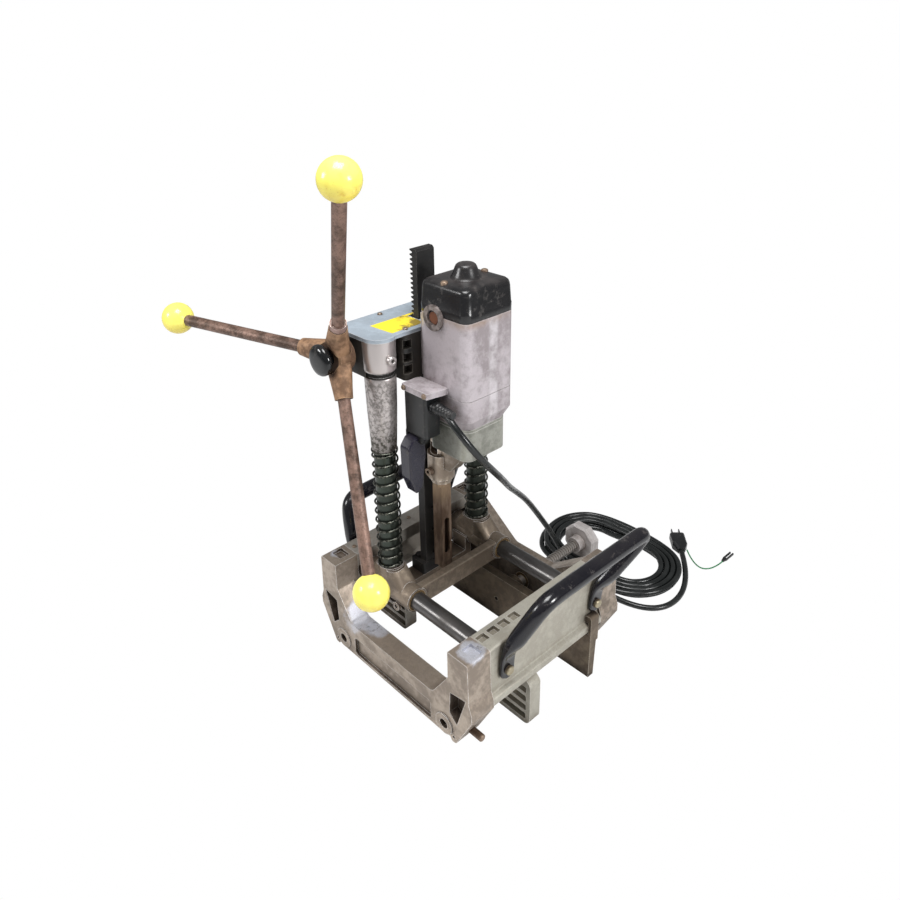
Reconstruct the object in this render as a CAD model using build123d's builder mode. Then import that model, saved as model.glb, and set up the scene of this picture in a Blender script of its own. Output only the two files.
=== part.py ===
from build123d import *
from math import acos, cos, pi, radians, sin, sqrt, tan
import os

os.makedirs("parts", exist_ok=True)

# Millimetres, +Z up. The origin is on the floor under the middle of the frame.
# X runs along the guide rods, -Y is the side of the feed levers, +Y the side of the vise screw.

# ---- frame ----
frame_y = 147.0            # outer face of the end castings
beam_depth = 29.0          # end beam, along Y
leg_depth = 39.0           # corner leg, along Y
rail_inner_x = 114.0       # inner edge of the side rails
leg_top_x = 148.5          # outer face of a leg at the top
foot_z = 20.0              # lowest edge of the end castings
frame_top_z = 162.0        # top of the side rails
flange_x = 155.5           # tip of the side flange
flange_z = 76.0            # underside of the side flange
front_ridge_z = 77.0       # top of the front beam between its legs
front_knee_x = 84.0
rear_ridge_z = 95.0        # top of the rear beam between its legs
rear_knee_x = 38.0
boss_x = 106.0             # bored boss at each foot
boss_z = 40.0
boss_hole_radius = 7.0

# ---- guide rods and carriage ----
rod_radius = 12.5
rod_half_length = 141.0
rod_y = 85.0
rod_z = 128.0
running_gap = 0.05         # radial clearance of a sliding or turning fit
carriage_left_x = -112.0
carriage_right_x = -12.0
column_x = -67.0
column_y = 85.0
column_radius = 14.5
column_top_z = 386.0
collar_z = 164.0           # top of the column sockets
spring_wire = 2.8
spring_radius = 16.7       # centre of the wire
spring_turns = 14

# ---- head ----
head_left_x = -128.0
head_right_x = -47.0
head_foot_z = 440.0
head_top_z = 502.0
cover_z = 507.0            # top of the cover plate
sleeve_foot_z = 346.0
sleeve_step_z = 449.0
rack_back_x = -71.0
rack_top_z = 598.0
rack_foot_z = 104.0
rack_width = 30.0
hub_x = -102.0
hub_y = -123.0
hub_z = 480.0
feed_module = 2.0
feed_teeth = 20
shaft_radius = 9.5

# ---- motor and gears ----
motor_x = 2.0
motor_half = 42.5
motor_foot_z = 390.0
motor_top_z = 534.0
cap_top_z = 574.0
idler_x = -24.25
spindle_x = -50.5
fast_module = 1.25
slow_module = 1.5
armature_teeth = 12
idler_big_teeth = 30
idler_small_teeth = 16
spindle_teeth = 19
fast_gear_z = 372.0        # foot of the first gear pair, 10 wide
slow_gear_z = 358.0        # foot of the second gear pair, 11 wide
chisel_side = 18.0
chisel_foot_z = 122.0

# ---- vise ----
fixed_face_y = -25.0       # clamping face of the two fixed feet
jaw_face_y = 79.0          # clamping face of the moving jaw at rest
vise_z = 57.0
vise_screw_radius = 8.0
knob_y = 257.0

# ---- feed levers ----
lever_reach = 281.0        # in the plane of turning, hub centre to ball centre
lever_rake = 77.0          # how far each ball stands forward of the hub
lever_radius = 8.0
ball_radius = 22.5
lever_angles = [60.6, 180.6, 300.6]

# ---- cord ----
cord_radius = 4.5


def save(piece, name):
    """Label a finished piece and write it as its own file."""
    piece.part.label = name
    export_step(piece.part, f"parts/{name}.step")


def end_plane(side, y):
    """Upright plane at distance y from the middle, looking out of the front (-1) or rear (+1) end."""
    return Plane(origin=(0, side * y, 0), x_dir=(-side, 0, 0), z_dir=(0, side, 0))


# ======================================================================
# Frame: two end castings joined by two side rails
# ======================================================================


def end_casting(side, ridge_z, knee_x, knee_z):
    """A trough-shaped beam between two tapering legs, with a bored boss at each foot."""
    outer = end_plane(side, frame_y)
    leg_outline = [
        (rail_inner_x, foot_z + 10),
        (120, foot_z),
        (127, foot_z + 1),
        (flange_x, flange_z),
        (flange_x, flange_z + 11),
        (150.5, 101),
        (leg_top_x, frame_top_z),
        (rail_inner_x, frame_top_z),
    ]
    with BuildPart() as casting:
        with BuildSketch(outer):
            with BuildLine():
                half = FilletPolyline(
                    (0, foot_z + 3),
                    (108, foot_z + 3),
                    (120, foot_z + 8),
                    (120, frame_top_z),
                    (rail_inner_x, frame_top_z),
                    (rail_inner_x, knee_z),
                    (knee_x, ridge_z),
                    (0, ridge_z),
                    radius=[3, 3, 0, 0, 8, 14],
                )
                mirror(half, about=Plane.YZ)
            make_face()
        extrude(amount=-beam_depth)
        with BuildSketch(outer):
            with BuildLine():
                FilletPolyline(*leg_outline, radius=[2, 4, 4, 2, 2, 5, 3, 0], close=True)
            make_face()
            mirror(about=Plane.YZ)
        extrude(amount=-leg_depth)
        # long shallow panel on the outer face, and a deep recess above each boss
        with BuildSketch(outer):
            with Locations((0, 42)):
                RectangleRounded(160, 30, 5)
        extrude(amount=-4.5, mode=Mode.SUBTRACT)
        with BuildSketch(outer):
            with BuildLine():
                Polyline((118, 100), (145, 105), (129, 54), (116, 66), close=True)
            make_face()
            mirror(about=Plane.YZ)
        extrude(amount=-15, mode=Mode.SUBTRACT)
        # the beam is open from below, with ribs left between three bays
        with BuildSketch(Plane.XY.offset(foot_z)):
            with GridLocations(58, 0, 3, 1):
                with Locations((0, side * (frame_y - 17))):
                    Rectangle(52, 14)
        extrude(amount=ridge_z - foot_z - 9, mode=Mode.SUBTRACT)
        with BuildSketch(outer):
            with Locations((-boss_x, boss_z), (boss_x, boss_z)):
                Circle(15)
        extrude(amount=1.5)
        with BuildSketch(outer.offset(3)):
            with Locations((-boss_x, boss_z), (boss_x, boss_z)):
                Circle(boss_hole_radius)
        extrude(amount=-(leg_depth + 6), mode=Mode.SUBTRACT)
        with BuildSketch(outer):
            with Locations((-123, 29), (123, 29)):
                Circle(2)
        extrude(amount=-8, mode=Mode.SUBTRACT)
        # worn pocket in the top of each leg
        with BuildSketch(Plane.XY.offset(frame_top_z)):
            with Locations((-133, side * 124), (133, side * 124)):
                Rectangle(20, 16)
        extrude(amount=-5, mode=Mode.SUBTRACT)
        if side < 0:
            # hole of the steel pin in the right foot
            with BuildSketch(Plane.YZ.offset(118)):
                with Locations((-127, 37)):
                    Circle(5)
            extrude(amount=40, mode=Mode.SUBTRACT)
        else:
            # long boss that holds the nut of the vise screw
            with BuildSketch(end_plane(1, frame_y + 8)):
                with Locations((0, vise_z)):
                    Circle(19)
            extrude(amount=-(beam_depth + 8))
            with BuildSketch(end_plane(1, frame_y + 9)):
                with Locations((0, vise_z)):
                    Circle(13)
            extrude(amount=-(beam_depth + 12), mode=Mode.SUBTRACT)
    return casting


front_end = end_casting(-1, front_ridge_z, front_knee_x, 122)
save(front_end, "front_end")
rear_end = end_casting(1, rear_ridge_z, rear_knee_x, 152)
save(rear_end, "rear_end")


def side_rail(side):
    """A side rail: hollow rail above, thin web, rounded flange below, rod bosses and a fixed vise foot."""
    span = frame_y - leg_depth
    with BuildPart() as rail:
        with BuildSketch(Plane.XZ.offset(span)):
            with BuildLine():
                FilletPolyline(
                    (flange_x, flange_z),
                    (flange_x, flange_z + 11),
                    (leg_top_x, flange_z + 16),
                    (leg_top_x, frame_top_z),
                    (rail_inner_x, frame_top_z),
                    (rail_inner_x, 141),
                    (120, 141),
                    (120, 152),
                    (138, 152),
                    (138, flange_z + 16),
                    (134, flange_z + 8),
                    (134, flange_z),
                    radius=[3, 4, 3, 3, 1, 1, 1, 3, 3, 3, 2, 2],
                    close=True,
                )
            make_face()
        extrude(amount=-2 * span)
        # bosses that hold the ends of the guide rods
        with BuildSketch(Plane.YZ.offset(rail_inner_x)):
            with Locations((-rod_y, rod_z), (rod_y, rod_z)):
                Circle(18)
        extrude(amount=146 - rail_inner_x)
        with BuildSketch(Plane.YZ.offset(rail_inner_x - 1)):
            with Locations((-rod_y, rod_z), (rod_y, rod_z)):
                Circle(rod_radius)
        extrude(amount=rod_half_length - rail_inner_x + 1, mode=Mode.SUBTRACT)
        # fixed foot of the vise: a plate with a rim and ribs on its front
        with BuildSketch(Plane.XZ.offset(-fixed_face_y)):
            with BuildLine():
                FilletPolyline(
                    (88, 0),
                    (160, 0),
                    (160, 68),
                    (150, flange_z + 0.5),
                    (134, flange_z + 0.5),
                    (126, 68),
                    (88, 68),
                    radius=[9, 10, 9, 0, 0, 5, 12],
                    close=True,
                )
            make_face()
        extrude(amount=20)
        with BuildSketch(Plane.XZ.offset(-fixed_face_y + 20)):
            with Locations((122, 12), (122, 27), (122, 42), (122, 57)):
                RectangleRounded(62, 10, 2)
        extrude(amount=-11, mode=Mode.SUBTRACT)
        if side > 0:
            # open pockets along the inner half of the top
            with BuildSketch(Plane.XY.offset(frame_top_z)):
                with Locations(*[(126.5, -99 + 19 * step) for step in range(4)]):
                    Rectangle(12, 14)
            extrude(amount=-6, mode=Mode.SUBTRACT)
        else:
            mirror(about=Plane.YZ, mode=Mode.REPLACE)
    return rail


side_rail_right = side_rail(1)
save(side_rail_right, "side_rail_right")
side_rail_left = side_rail(-1)
save(side_rail_left, "side_rail_left")

with BuildPart() as guide_rods:
    with BuildSketch(Plane.YZ.offset(-rod_half_length)):
        with Locations((-rod_y, rod_z), (rod_y, rod_z)):
            Circle(rod_radius)
    extrude(amount=2 * rod_half_length)
    chamfer(guide_rods.edges(), 1)
save(guide_rods, "guide_rods")

with BuildPart() as foot_pin:
    with BuildSketch(Plane.YZ.offset(118)):
        with Locations((-127, 37)):
            Circle(5)
    extrude(amount=37)
    fillet(foot_pin.faces().sort_by(Axis.X)[-1].edges(), 2)
save(foot_pin, "foot_pin")

rail_screw_spots = [(-132, -100), (-132, -52), (-132, 4), (-132, 60)]

with BuildPart() as rail_screws:
    with BuildSketch(Plane.XY.offset(frame_top_z)):
        with Locations(*rail_screw_spots):
            Circle(3.2)
    extrude(amount=1.5)
    chamfer(rail_screws.faces().group_by(Axis.Z)[-1].edges(), 0.6)
save(rail_screws, "rail_screws")

# ======================================================================
# Carrying handles: bent tube with flattened ends, bolted to the webs
# ======================================================================

handle_front_y = -82.0
handle_rear_y = 95.0
handle_bolt_z = 120.0
lug_thickness = 6.4


def handle(side):
    """Bent tube handle of the right (1) or left (-1) side."""
    route = [
        (162, handle_front_y - 3, 160),
        (169, -108, 231),
        (187, 160, 231),
        (164, handle_rear_y + 8, 160),
    ]
    with BuildPart() as tube:
        with BuildLine() as centre:
            FilletPolyline(*route, radius=28)
        with BuildSketch(Plane(origin=centre.line @ 0, x_dir=(0, 1, 0), z_dir=centre.line % 0)):
            Circle(11)
        sweep()
        # each end is pressed flat against the rail
        for y, end in ((handle_front_y, 0), (handle_rear_y, 1)):
            with BuildSketch(Plane(origin=centre.line @ end, x_dir=(0, 1, 0), z_dir=centre.line % end)):
                Circle(11)
            with BuildSketch(Plane.XY.offset(134)):
                with Locations((leg_top_x + 0.1 + lug_thickness / 2, y)):
                    RectangleRounded(lug_thickness, 24, 3)
            loft()
            with BuildSketch(Plane.YZ.offset(leg_top_x + 0.1)):
                with Locations((y, handle_bolt_z + 1)):
                    RectangleRounded(24, 28, 7)
            extrude(amount=lug_thickness)
            with BuildSketch(Plane.YZ.offset(leg_top_x)):
                with Locations((y, handle_bolt_z)):
                    Circle(4.1)
            extrude(amount=9, mode=Mode.SUBTRACT)
        if side < 0:
            mirror(about=Plane.YZ, mode=Mode.REPLACE)
    return tube


handle_right = handle(1)
save(handle_right, "handle_right")
handle_left = handle(-1)
save(handle_left, "handle_left")

with BuildPart() as handle_bolts:
    bolt_spots = [(handle_front_y, handle_bolt_z), (handle_rear_y, handle_bolt_z)]
    with BuildSketch(Plane.YZ.offset(leg_top_x + 0.1 + lug_thickness)):
        with Locations(*bolt_spots):
            Circle(6.5)
    extrude(amount=5)
    fillet(handle_bolts.faces().group_by(Axis.X)[-1].edges(), 2.4)
    with BuildSketch(Plane.YZ.offset(leg_top_x)):
        with Locations(*bolt_spots):
            Circle(4)
    extrude(amount=lug_thickness + 1)
    mirror(about=Plane.YZ)
save(handle_bolts, "handle_bolts")

# ======================================================================
# Vise: bronze nut in the rear end, moving jaw, screw and octagonal knob
# ======================================================================

with BuildPart() as vise_nut:
    with BuildSketch(end_plane(1, frame_y + 10)):
        with Locations((0, vise_z)):
            Circle(13)
    extrude(amount=-(beam_depth + 10))
    with BuildSketch(end_plane(1, frame_y + 13)):
        with Locations((0, vise_z)):
            RegularPolygon(17, 6)
    extrude(amount=-5)
    with BuildSketch(end_plane(1, frame_y + 14)):
        with Locations((0, vise_z)):
            Circle(vise_screw_radius + running_gap)
    extrude(amount=-(beam_depth + 16), mode=Mode.SUBTRACT)
save(vise_nut, "vise_nut")

jaw_depth = 17.0           # ledge, ribs and hooks behind the clamping face

with BuildPart() as moving_jaw:
    # clamping plate, thicker towards the top, reaching past both side flanges
    with BuildSketch(Plane.YZ.offset(-160.5)):
        with BuildLine():
            Polyline(
                (jaw_face_y, 0), (jaw_face_y + 11, 0), (jaw_face_y + 14, 74.5), (jaw_face_y, 74.5), close=True
            )
        make_face()
    extrude(amount=321)
    # ledge and upright ribs on the back
    with BuildSketch(Plane.XY.offset(64)):
        with Locations((0, jaw_face_y + jaw_depth / 2)):
            Rectangle(290, jaw_depth)
    extrude(amount=6)
    for rib_x in (-143, -60, 55, 138):
        with BuildSketch(Plane.YZ.offset(rib_x)):
            with BuildLine():
                Polyline(
                    (jaw_face_y + 6, 4), (jaw_face_y + jaw_depth, 66), (jaw_face_y + 6, 66), close=True
                )
            make_face()
        extrude(amount=5)
    # lugs outside the flanges that hook over them
    with BuildSketch(Plane.XZ.offset(-jaw_face_y)):
        with BuildLine():
            FilletPolyline(
                (156, 60),
                (160.5, 60),
                (160.5, 104),
                (149.3, 104),
                (149.3, 93.5),
                (156, 93.5),
                radius=[0, 0, 5, 3, 1, 1],
                close=True,
            )
        make_face()
        mirror(about=Plane.YZ)
    extrude(amount=-jaw_depth)
    # thrust boss for the end of the screw
    with BuildSketch(end_plane(1, jaw_face_y + 26)):
        with Locations((0, vise_z)):
            Circle(15)
    extrude(amount=-18)
    with BuildSketch(end_plane(1, jaw_face_y + 27)):
        with Locations((0, vise_z)):
            Circle(vise_screw_radius + running_gap)
    extrude(amount=-21, mode=Mode.SUBTRACT)
    # holes for a facing board
    with BuildSketch(Plane.XZ.offset(-jaw_face_y)):
        with Locations((-120, 32), (-18, 32), (18, 32), (120, 32)):
            Circle(3.5)
    extrude(amount=-8, mode=Mode.SUBTRACT)
save(moving_jaw, "moving_jaw")

with BuildPart() as vise_screw:
    with BuildSketch(end_plane(1, jaw_face_y + 8)):
        with Locations((0, vise_z)):
            Circle(vise_screw_radius)
    extrude(amount=knob_y + 6 - jaw_face_y - 8)
    chamfer(vise_screw.edges(), 1)
    # thread grooves along the run that meets the nut
    groove_spots = [frame_y + 20 + 5 * step for step in range(16)]
    for groove_y in groove_spots:
        with BuildSketch(end_plane(1, groove_y)):
            with Locations((0, vise_z)):
                Circle(vise_screw_radius + 1)
                Circle(vise_screw_radius - 1.2, mode=Mode.SUBTRACT)
        extrude(amount=1.6, mode=Mode.SUBTRACT)
save(vise_screw, "vise_screw")

with BuildPart() as vise_knob:
    with BuildSketch(end_plane(1, knob_y)):
        with Locations((0, vise_z)):
            RegularPolygon(29, 8, major_radius=False, rotation=22.5)
    extrude(amount=18)
    chamfer(vise_knob.faces().filter_by(Axis.Y).edges(), 3)
    with BuildSketch(end_plane(1, knob_y - 12)):
        with Locations((0, vise_z)):
            Circle(13)
    extrude(amount=14)
    with BuildSketch(end_plane(1, knob_y - 13)):
        with Locations((0, vise_z)):
            Circle(vise_screw_radius)
    extrude(amount=19, mode=Mode.SUBTRACT)
    with BuildSketch(end_plane(1, knob_y + 15)):
        with Locations((0, vise_z)):
            Circle(17)
    extrude(amount=4, mode=Mode.SUBTRACT)
save(vise_knob, "vise_knob")

# ======================================================================
# Carriage: slides along the guide rods and carries columns, springs and rack
# ======================================================================

carriage_length = carriage_right_x - carriage_left_x
bush_length = 22.0
bush_radius = 15.5
column_foot_z = 144.0
column_spots = [(column_x, -column_y), (column_x, column_y)]

with BuildPart() as carriage:
    with BuildSketch(Plane.YZ.offset(carriage_left_x)):
        with Locations((-rod_y, rod_z), (rod_y, rod_z)):
            Circle(18)
    extrude(amount=carriage_length)
    # flared sockets of the columns
    for y in (-column_y, column_y):
        with BuildSketch(Plane.XY.offset(130)):
            with Locations((-64, y)):
                RectangleRounded(94, 32, 8)
        with BuildSketch(Plane.XY.offset(161)):
            with Locations((-66, y)):
                RectangleRounded(42, 32, 12)
        loft()
    with BuildSketch(Plane.XY.offset(130)):
        with Locations(*column_spots):
            Circle(18.5)
    extrude(amount=collar_z - 130)
    # cross bars between the two rod tubes
    with BuildSketch(Plane.XZ.offset(75)):
        with Locations((-20.5, 127.5)):
            RectangleRounded(13, 29, 2)
    extrude(amount=-150)
    with BuildSketch(Plane.XZ.offset(75)):
        with Locations((-84, 96)):
            Rectangle(28, 16)
    extrude(amount=-150)
    with BuildSketch(Plane.XY.offset(88)):
        with Locations((-84, -70), (-84, 70)):
            Rectangle(28, 12)
    extrude(amount=40)
    # bores for rods, bushes and columns
    with BuildSketch(Plane.YZ.offset(carriage_left_x - 1)):
        with Locations((-rod_y, rod_z), (rod_y, rod_z)):
            Circle(13.3)
    extrude(amount=carriage_length + 2, mode=Mode.SUBTRACT)
    for start in (carriage_left_x - 1, carriage_right_x - bush_length):
        with BuildSketch(Plane.YZ.offset(start)):
            with Locations((-rod_y, rod_z), (rod_y, rod_z)):
                Circle(bush_radius)
        extrude(amount=bush_length + 1, mode=Mode.SUBTRACT)
    with BuildSketch(Plane.XY.offset(column_foot_z)):
        with Locations(*column_spots):
            Circle(column_radius)
    extrude(amount=30, mode=Mode.SUBTRACT)
    # tapped hole with a raised ring low on the front tube
    with BuildSketch(Plane.XZ.offset(104.5)):
        with Locations((-36, 114)):
            Circle(6.5)
    extrude(amount=-5)
    with BuildSketch(Plane.XZ.offset(105)):
        with Locations((-36, 114)):
            Circle(3)
    extrude(amount=-6, mode=Mode.SUBTRACT)
    # tapped holes for the rack bolts
    with BuildSketch(Plane.XY.offset(rack_foot_z)):
        with Locations((-91, -12), (-91, 12)):
            Circle(3)
    extrude(amount=-12, mode=Mode.SUBTRACT)
save(carriage, "carriage")

with BuildPart() as carriage_bushes:
    for start in (carriage_left_x, carriage_right_x - bush_length):
        with BuildSketch(Plane.YZ.offset(start)):
            with Locations((-rod_y, rod_z), (rod_y, rod_z)):
                Circle(bush_radius)
                Circle(rod_radius + running_gap, mode=Mode.SUBTRACT)
        extrude(amount=bush_length)
save(carriage_bushes, "carriage_bushes")

with BuildPart() as columns:
    with BuildSketch(Plane.XY.offset(column_foot_z)):
        with Locations(*column_spots):
            Circle(column_radius)
    extrude(amount=column_top_z - column_foot_z)
    chamfer(columns.faces().group_by(Axis.Z)[-1].edges(), 1.5)
save(columns, "columns")


def biarc(start, end, start_heading, end_heading):
    """Two tangent arcs from start to end that leave and arrive along the given headings."""
    chord = end - start
    both = start_heading + end_heading
    spread = 2 * (1 - start_heading.dot(end_heading))
    lean = chord.dot(both)
    if abs(spread) < 1e-9:
        reach = chord.dot(chord) / (4 * chord.dot(end_heading))
    else:
        reach = (-lean + sqrt(lean * lean + spread * chord.dot(chord))) / spread
    middle = (start + end + (start_heading - end_heading) * reach) * 0.5
    TangentArc(start, middle, tangent=start_heading)
    TangentArc(end, middle, tangent=end_heading * -1)


def coil_point(turn, radius, foot_z, pitch):
    """Point of a round coil after so many turns."""
    angle = 2 * pi * turn
    return Vector(radius * cos(angle), radius * sin(angle), foot_z + pitch * turn)


def coil_heading(turn, radius, pitch):
    """Heading of a round coil after so many turns."""
    angle = 2 * pi * turn
    return Vector(-2 * pi * radius * sin(angle), 2 * pi * radius * cos(angle), pitch).normalized()


spring_foot_z = collar_z + spring_wire / 2 + 0.1
spring_head_z = sleeve_foot_z - spring_wire / 2 - 0.1
spring_pitch = (spring_head_z - spring_foot_z) / spring_turns

with BuildPart() as one_spring:
    with BuildLine() as wire:
        for quarter in range(4 * spring_turns):
            turn = quarter / 4
            biarc(
                coil_point(turn, spring_radius, spring_foot_z, spring_pitch),
                coil_point(turn + 0.25, spring_radius, spring_foot_z, spring_pitch),
                coil_heading(turn, spring_radius, spring_pitch),
                coil_heading(turn + 0.25, spring_radius, spring_pitch),
            )
    with BuildSketch(Plane(origin=wire.line @ 0, x_dir=(1, 0, 0), z_dir=wire.line % 0)):
        Circle(spring_wire / 2)
    sweep()

with BuildPart() as return_springs:
    with Locations(*column_spots):
        add(one_spring.part)
save(return_springs, "return_springs")
print("spring wire gap", round(spring_pitch - spring_wire, 2))

# ======================================================================
# Feed gear: rack on the carriage, pinion, hub and levers on the head
# ======================================================================


def tooth_ring(module, teeth, phase, clearance=0.25, thin=0.06, addendum=1.0):
    """Outline points of an involute gear, first tooth centred at phase degrees."""
    pitch_radius = module * teeth / 2
    base_radius = pitch_radius * cos(radians(20))
    tip_radius = pitch_radius + addendum * module
    root_radius = pitch_radius - (1 + clearance) * module
    half_tooth = (pi / 2 - thin / module) / teeth + tan(radians(20)) - radians(20)
    flank = []
    for step in range(5):
        radius = max(base_radius, root_radius) + (tip_radius - max(base_radius, root_radius)) * step / 4
        angle = acos(min(1, base_radius / radius))
        flank.append((radius, half_tooth - (tan(angle) - angle)))
    if root_radius < base_radius:
        flank.insert(0, (root_radius, half_tooth))
    points = []
    for tooth in range(teeth):
        middle = radians(phase) + 2 * pi * tooth / teeth
        for radius, half in flank:
            points.append((radius * cos(middle - half), radius * sin(middle - half)))
        for radius, half in reversed(flank):
            points.append((radius * cos(middle + half), radius * sin(middle + half)))
    return points


rack_pitch_x = hub_x + feed_module * feed_teeth / 2
tooth_pitch = pi * feed_module
rack_teeth = 40
half_tooth = tooth_pitch / 4 - 0.08
slope = tan(radians(20)) * feed_module

with BuildPart() as rack:
    with BuildSketch(Plane.XZ.offset(rack_width / 2)):
        with BuildLine():
            rack_outline = [
                (rack_back_x, rack_foot_z),
                (rack_back_x, rack_top_z - 3),
                (rack_back_x - 3, rack_top_z),
                (rack_pitch_x + 2.5, rack_top_z),
            ]
            for tooth in range(rack_teeth):
                middle = hub_z + tooth_pitch * (rack_teeth / 2 - 1.5 - tooth)
                rack_outline += [
                    (rack_pitch_x + 2.5, middle + half_tooth + 1.25 * slope),
                    (rack_pitch_x - 2, middle + half_tooth - slope),
                    (rack_pitch_x - 2, middle - half_tooth + slope),
                    (rack_pitch_x + 2.5, middle - half_tooth - 1.25 * slope),
                ]
            rack_outline += [(rack_pitch_x - 2, rack_outline[-1][1] - 3), (rack_pitch_x - 2, rack_foot_z)]
            Polyline(*rack_outline, close=True)
        make_face()
    extrude(amount=-rack_width)
    # foot block that stands on the carriage
    with BuildSketch(Plane.XY.offset(rack_foot_z)):
        with Locations((-84, 0)):
            RectangleRounded(28, 44, 3)
    extrude(amount=18)
    # dimples on the bare face
    with BuildSketch(Plane.YZ.offset(rack_back_x)):
        with Locations((0, 135), (0, 175), (0, 213)):
            Circle(3)
    extrude(amount=-3, mode=Mode.SUBTRACT)
    with BuildSketch(Plane.XY.offset(rack_foot_z)):
        with Locations((-91, -12), (-91, 12)):
            Circle(3.2)
    extrude(amount=18, mode=Mode.SUBTRACT)
save(rack, "rack")

with BuildPart() as rack_bolts:
    with BuildSketch(Plane.XY.offset(rack_foot_z + 18)):
        with Locations((-91, -12), (-91, 12)):
            RegularPolygon(5.5, 6)
    extrude(amount=4.5)
    with BuildSketch(Plane.XY.offset(rack_foot_z - 10)):
        with Locations((-91, -12), (-91, 12)):
            Circle(2.9)
    extrude(amount=28)
save(rack_bolts, "rack_bolts")


def hub_plane(y):
    """Plane across the axis of the feed shaft, looking out of the front."""
    return Plane(origin=(hub_x, y, hub_z), x_dir=(1, 0, 0), z_dir=(0, -1, 0))


shaft_rear_y = 44.0

with BuildPart() as pinion_shaft:
    with BuildSketch(hub_plane(hub_y - 8)):
        Circle(shaft_radius)
    extrude(amount=-(shaft_rear_y - hub_y + 8))
    with BuildSketch(hub_plane(-14)):
        Polygon(*tooth_ring(feed_module, feed_teeth, 0), align=None)
    extrude(amount=-28)
save(pinion_shaft, "pinion_shaft")

lever_tilt = acos(lever_reach / sqrt(lever_reach**2 + lever_rake**2))
lever_length = sqrt(lever_reach**2 + lever_rake**2)
socket_start = 17.0
socket_end = 57.0


def lever_heading(angle):
    """Heading of a lever from the hub to its ball."""
    across = cos(lever_tilt)
    return Vector(across * cos(radians(angle)), -sin(lever_tilt), across * sin(radians(angle)))


def lever_plane(angle, along):
    """Plane across a lever at a distance from the middle of the hub."""
    heading = lever_heading(angle)
    return Plane(origin=Vector(hub_x, hub_y, hub_z) + heading * along, x_dir=(0, 1, 0), z_dir=heading)


with BuildPart() as lever_hub:
    with BuildSketch(hub_plane(hub_y - 13)):
        Circle(22)
    extrude(amount=-26)
    chamfer(lever_hub.edges(), 2)
    for angle in lever_angles:
        with BuildSketch(lever_plane(angle, 6)):
            RectangleRounded(26, 34, 7)
        with BuildSketch(lever_plane(angle, socket_end)):
            Circle(11.5)
        loft()
    for angle in lever_angles:
        with BuildSketch(lever_plane(angle, socket_end + 1)):
            Circle(lever_radius)
        extrude(amount=-(socket_end + 1 - socket_start - 8), mode=Mode.SUBTRACT)
    with BuildSketch(hub_plane(hub_y + 14)):
        Circle(shaft_radius)
    extrude(amount=22, mode=Mode.SUBTRACT)
    with BuildSketch(hub_plane(hub_y - 13)):
        Circle(20.5)
    extrude(amount=20, mode=Mode.SUBTRACT)
save(lever_hub, "lever_hub")

with BuildPart() as levers:
    for angle in lever_angles:
        with BuildSketch(lever_plane(angle, socket_start + 8)):
            Circle(lever_radius)
        extrude(amount=lever_length - socket_start - 8 - 4)
save(levers, "levers")

with BuildPart() as lever_collar:
    with BuildSketch(lever_plane(lever_angles[0], socket_end)):
        Circle(10.5)
        Circle(lever_radius, mode=Mode.SUBTRACT)
    extrude(amount=9)
save(lever_collar, "lever_collar")

with BuildPart() as lever_balls:
    for angle in lever_angles:
        with Locations(lever_plane(angle, lever_length).location):
            Sphere(ball_radius)
    for angle in lever_angles:
        with BuildSketch(lever_plane(angle, lever_length - 4)):
            Circle(lever_radius)
        extrude(amount=-ball_radius, mode=Mode.SUBTRACT)
save(lever_balls, "lever_balls")

with BuildPart() as hub_knob:
    with BuildSketch(hub_plane(hub_y - 20)):
        Circle(19.5)
    extrude(amount=12)
    fillet(hub_knob.faces().sort_by(Axis.Y)[0].edges(), 5)
    with BuildSketch(hub_plane(hub_y - 13)):
        Circle(10)
    extrude(amount=8)
save(hub_knob, "hub_knob")

# ======================================================================
# Head: casting on two sleeves that ride the columns
# ======================================================================

sleeve_radius = 20.0
arm_y = 105.0

with BuildPart() as head_casting:
    with BuildSketch(Plane.XY.offset(head_foot_z)):
        with Locations(((head_left_x + head_right_x) / 2, 0)):
            RectangleRounded(head_right_x - head_left_x, 120, 6)
    extrude(amount=head_top_z - head_foot_z)
    with BuildSketch(Plane.XY.offset(head_foot_z + 12)):
        with Locations(((head_left_x + column_x) / 2, 0)):
            RectangleRounded(column_x - head_left_x, 2 * arm_y, 6)
    extrude(amount=head_top_z - head_foot_z - 12)
    # seats of the sleeves, slot of the rack, room and bearing of the pinion
    with BuildSketch(Plane.XY.offset(head_foot_z - 1)):
        with Locations(*column_spots):
            Circle(sleeve_radius)
    extrude(amount=70, mode=Mode.SUBTRACT)
    with BuildSketch(Plane.XY.offset(head_foot_z - 1)):
        with Locations((-78.5, 0)):
            Rectangle(21, 34)
    extrude(amount=70, mode=Mode.SUBTRACT)
    with BuildSketch(hub_plane(-16)):
        Circle(23)
    extrude(amount=-32, mode=Mode.SUBTRACT)
    with BuildSketch(hub_plane(-arm_y - 1)):
        Circle(shaft_radius + running_gap)
    extrude(amount=-(arm_y + 1 + shaft_rear_y + 2), mode=Mode.SUBTRACT)
    # rib grid beside the motor
    with BuildSketch(Plane.YZ.offset(head_right_x)):
        with Locations((-54, 455), (-54, 471), (-54, 489), (54, 455), (54, 471), (54, 489)):
            Rectangle(11, 12)
    extrude(amount=-12, mode=Mode.SUBTRACT)
save(head_casting, "head_casting")

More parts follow.
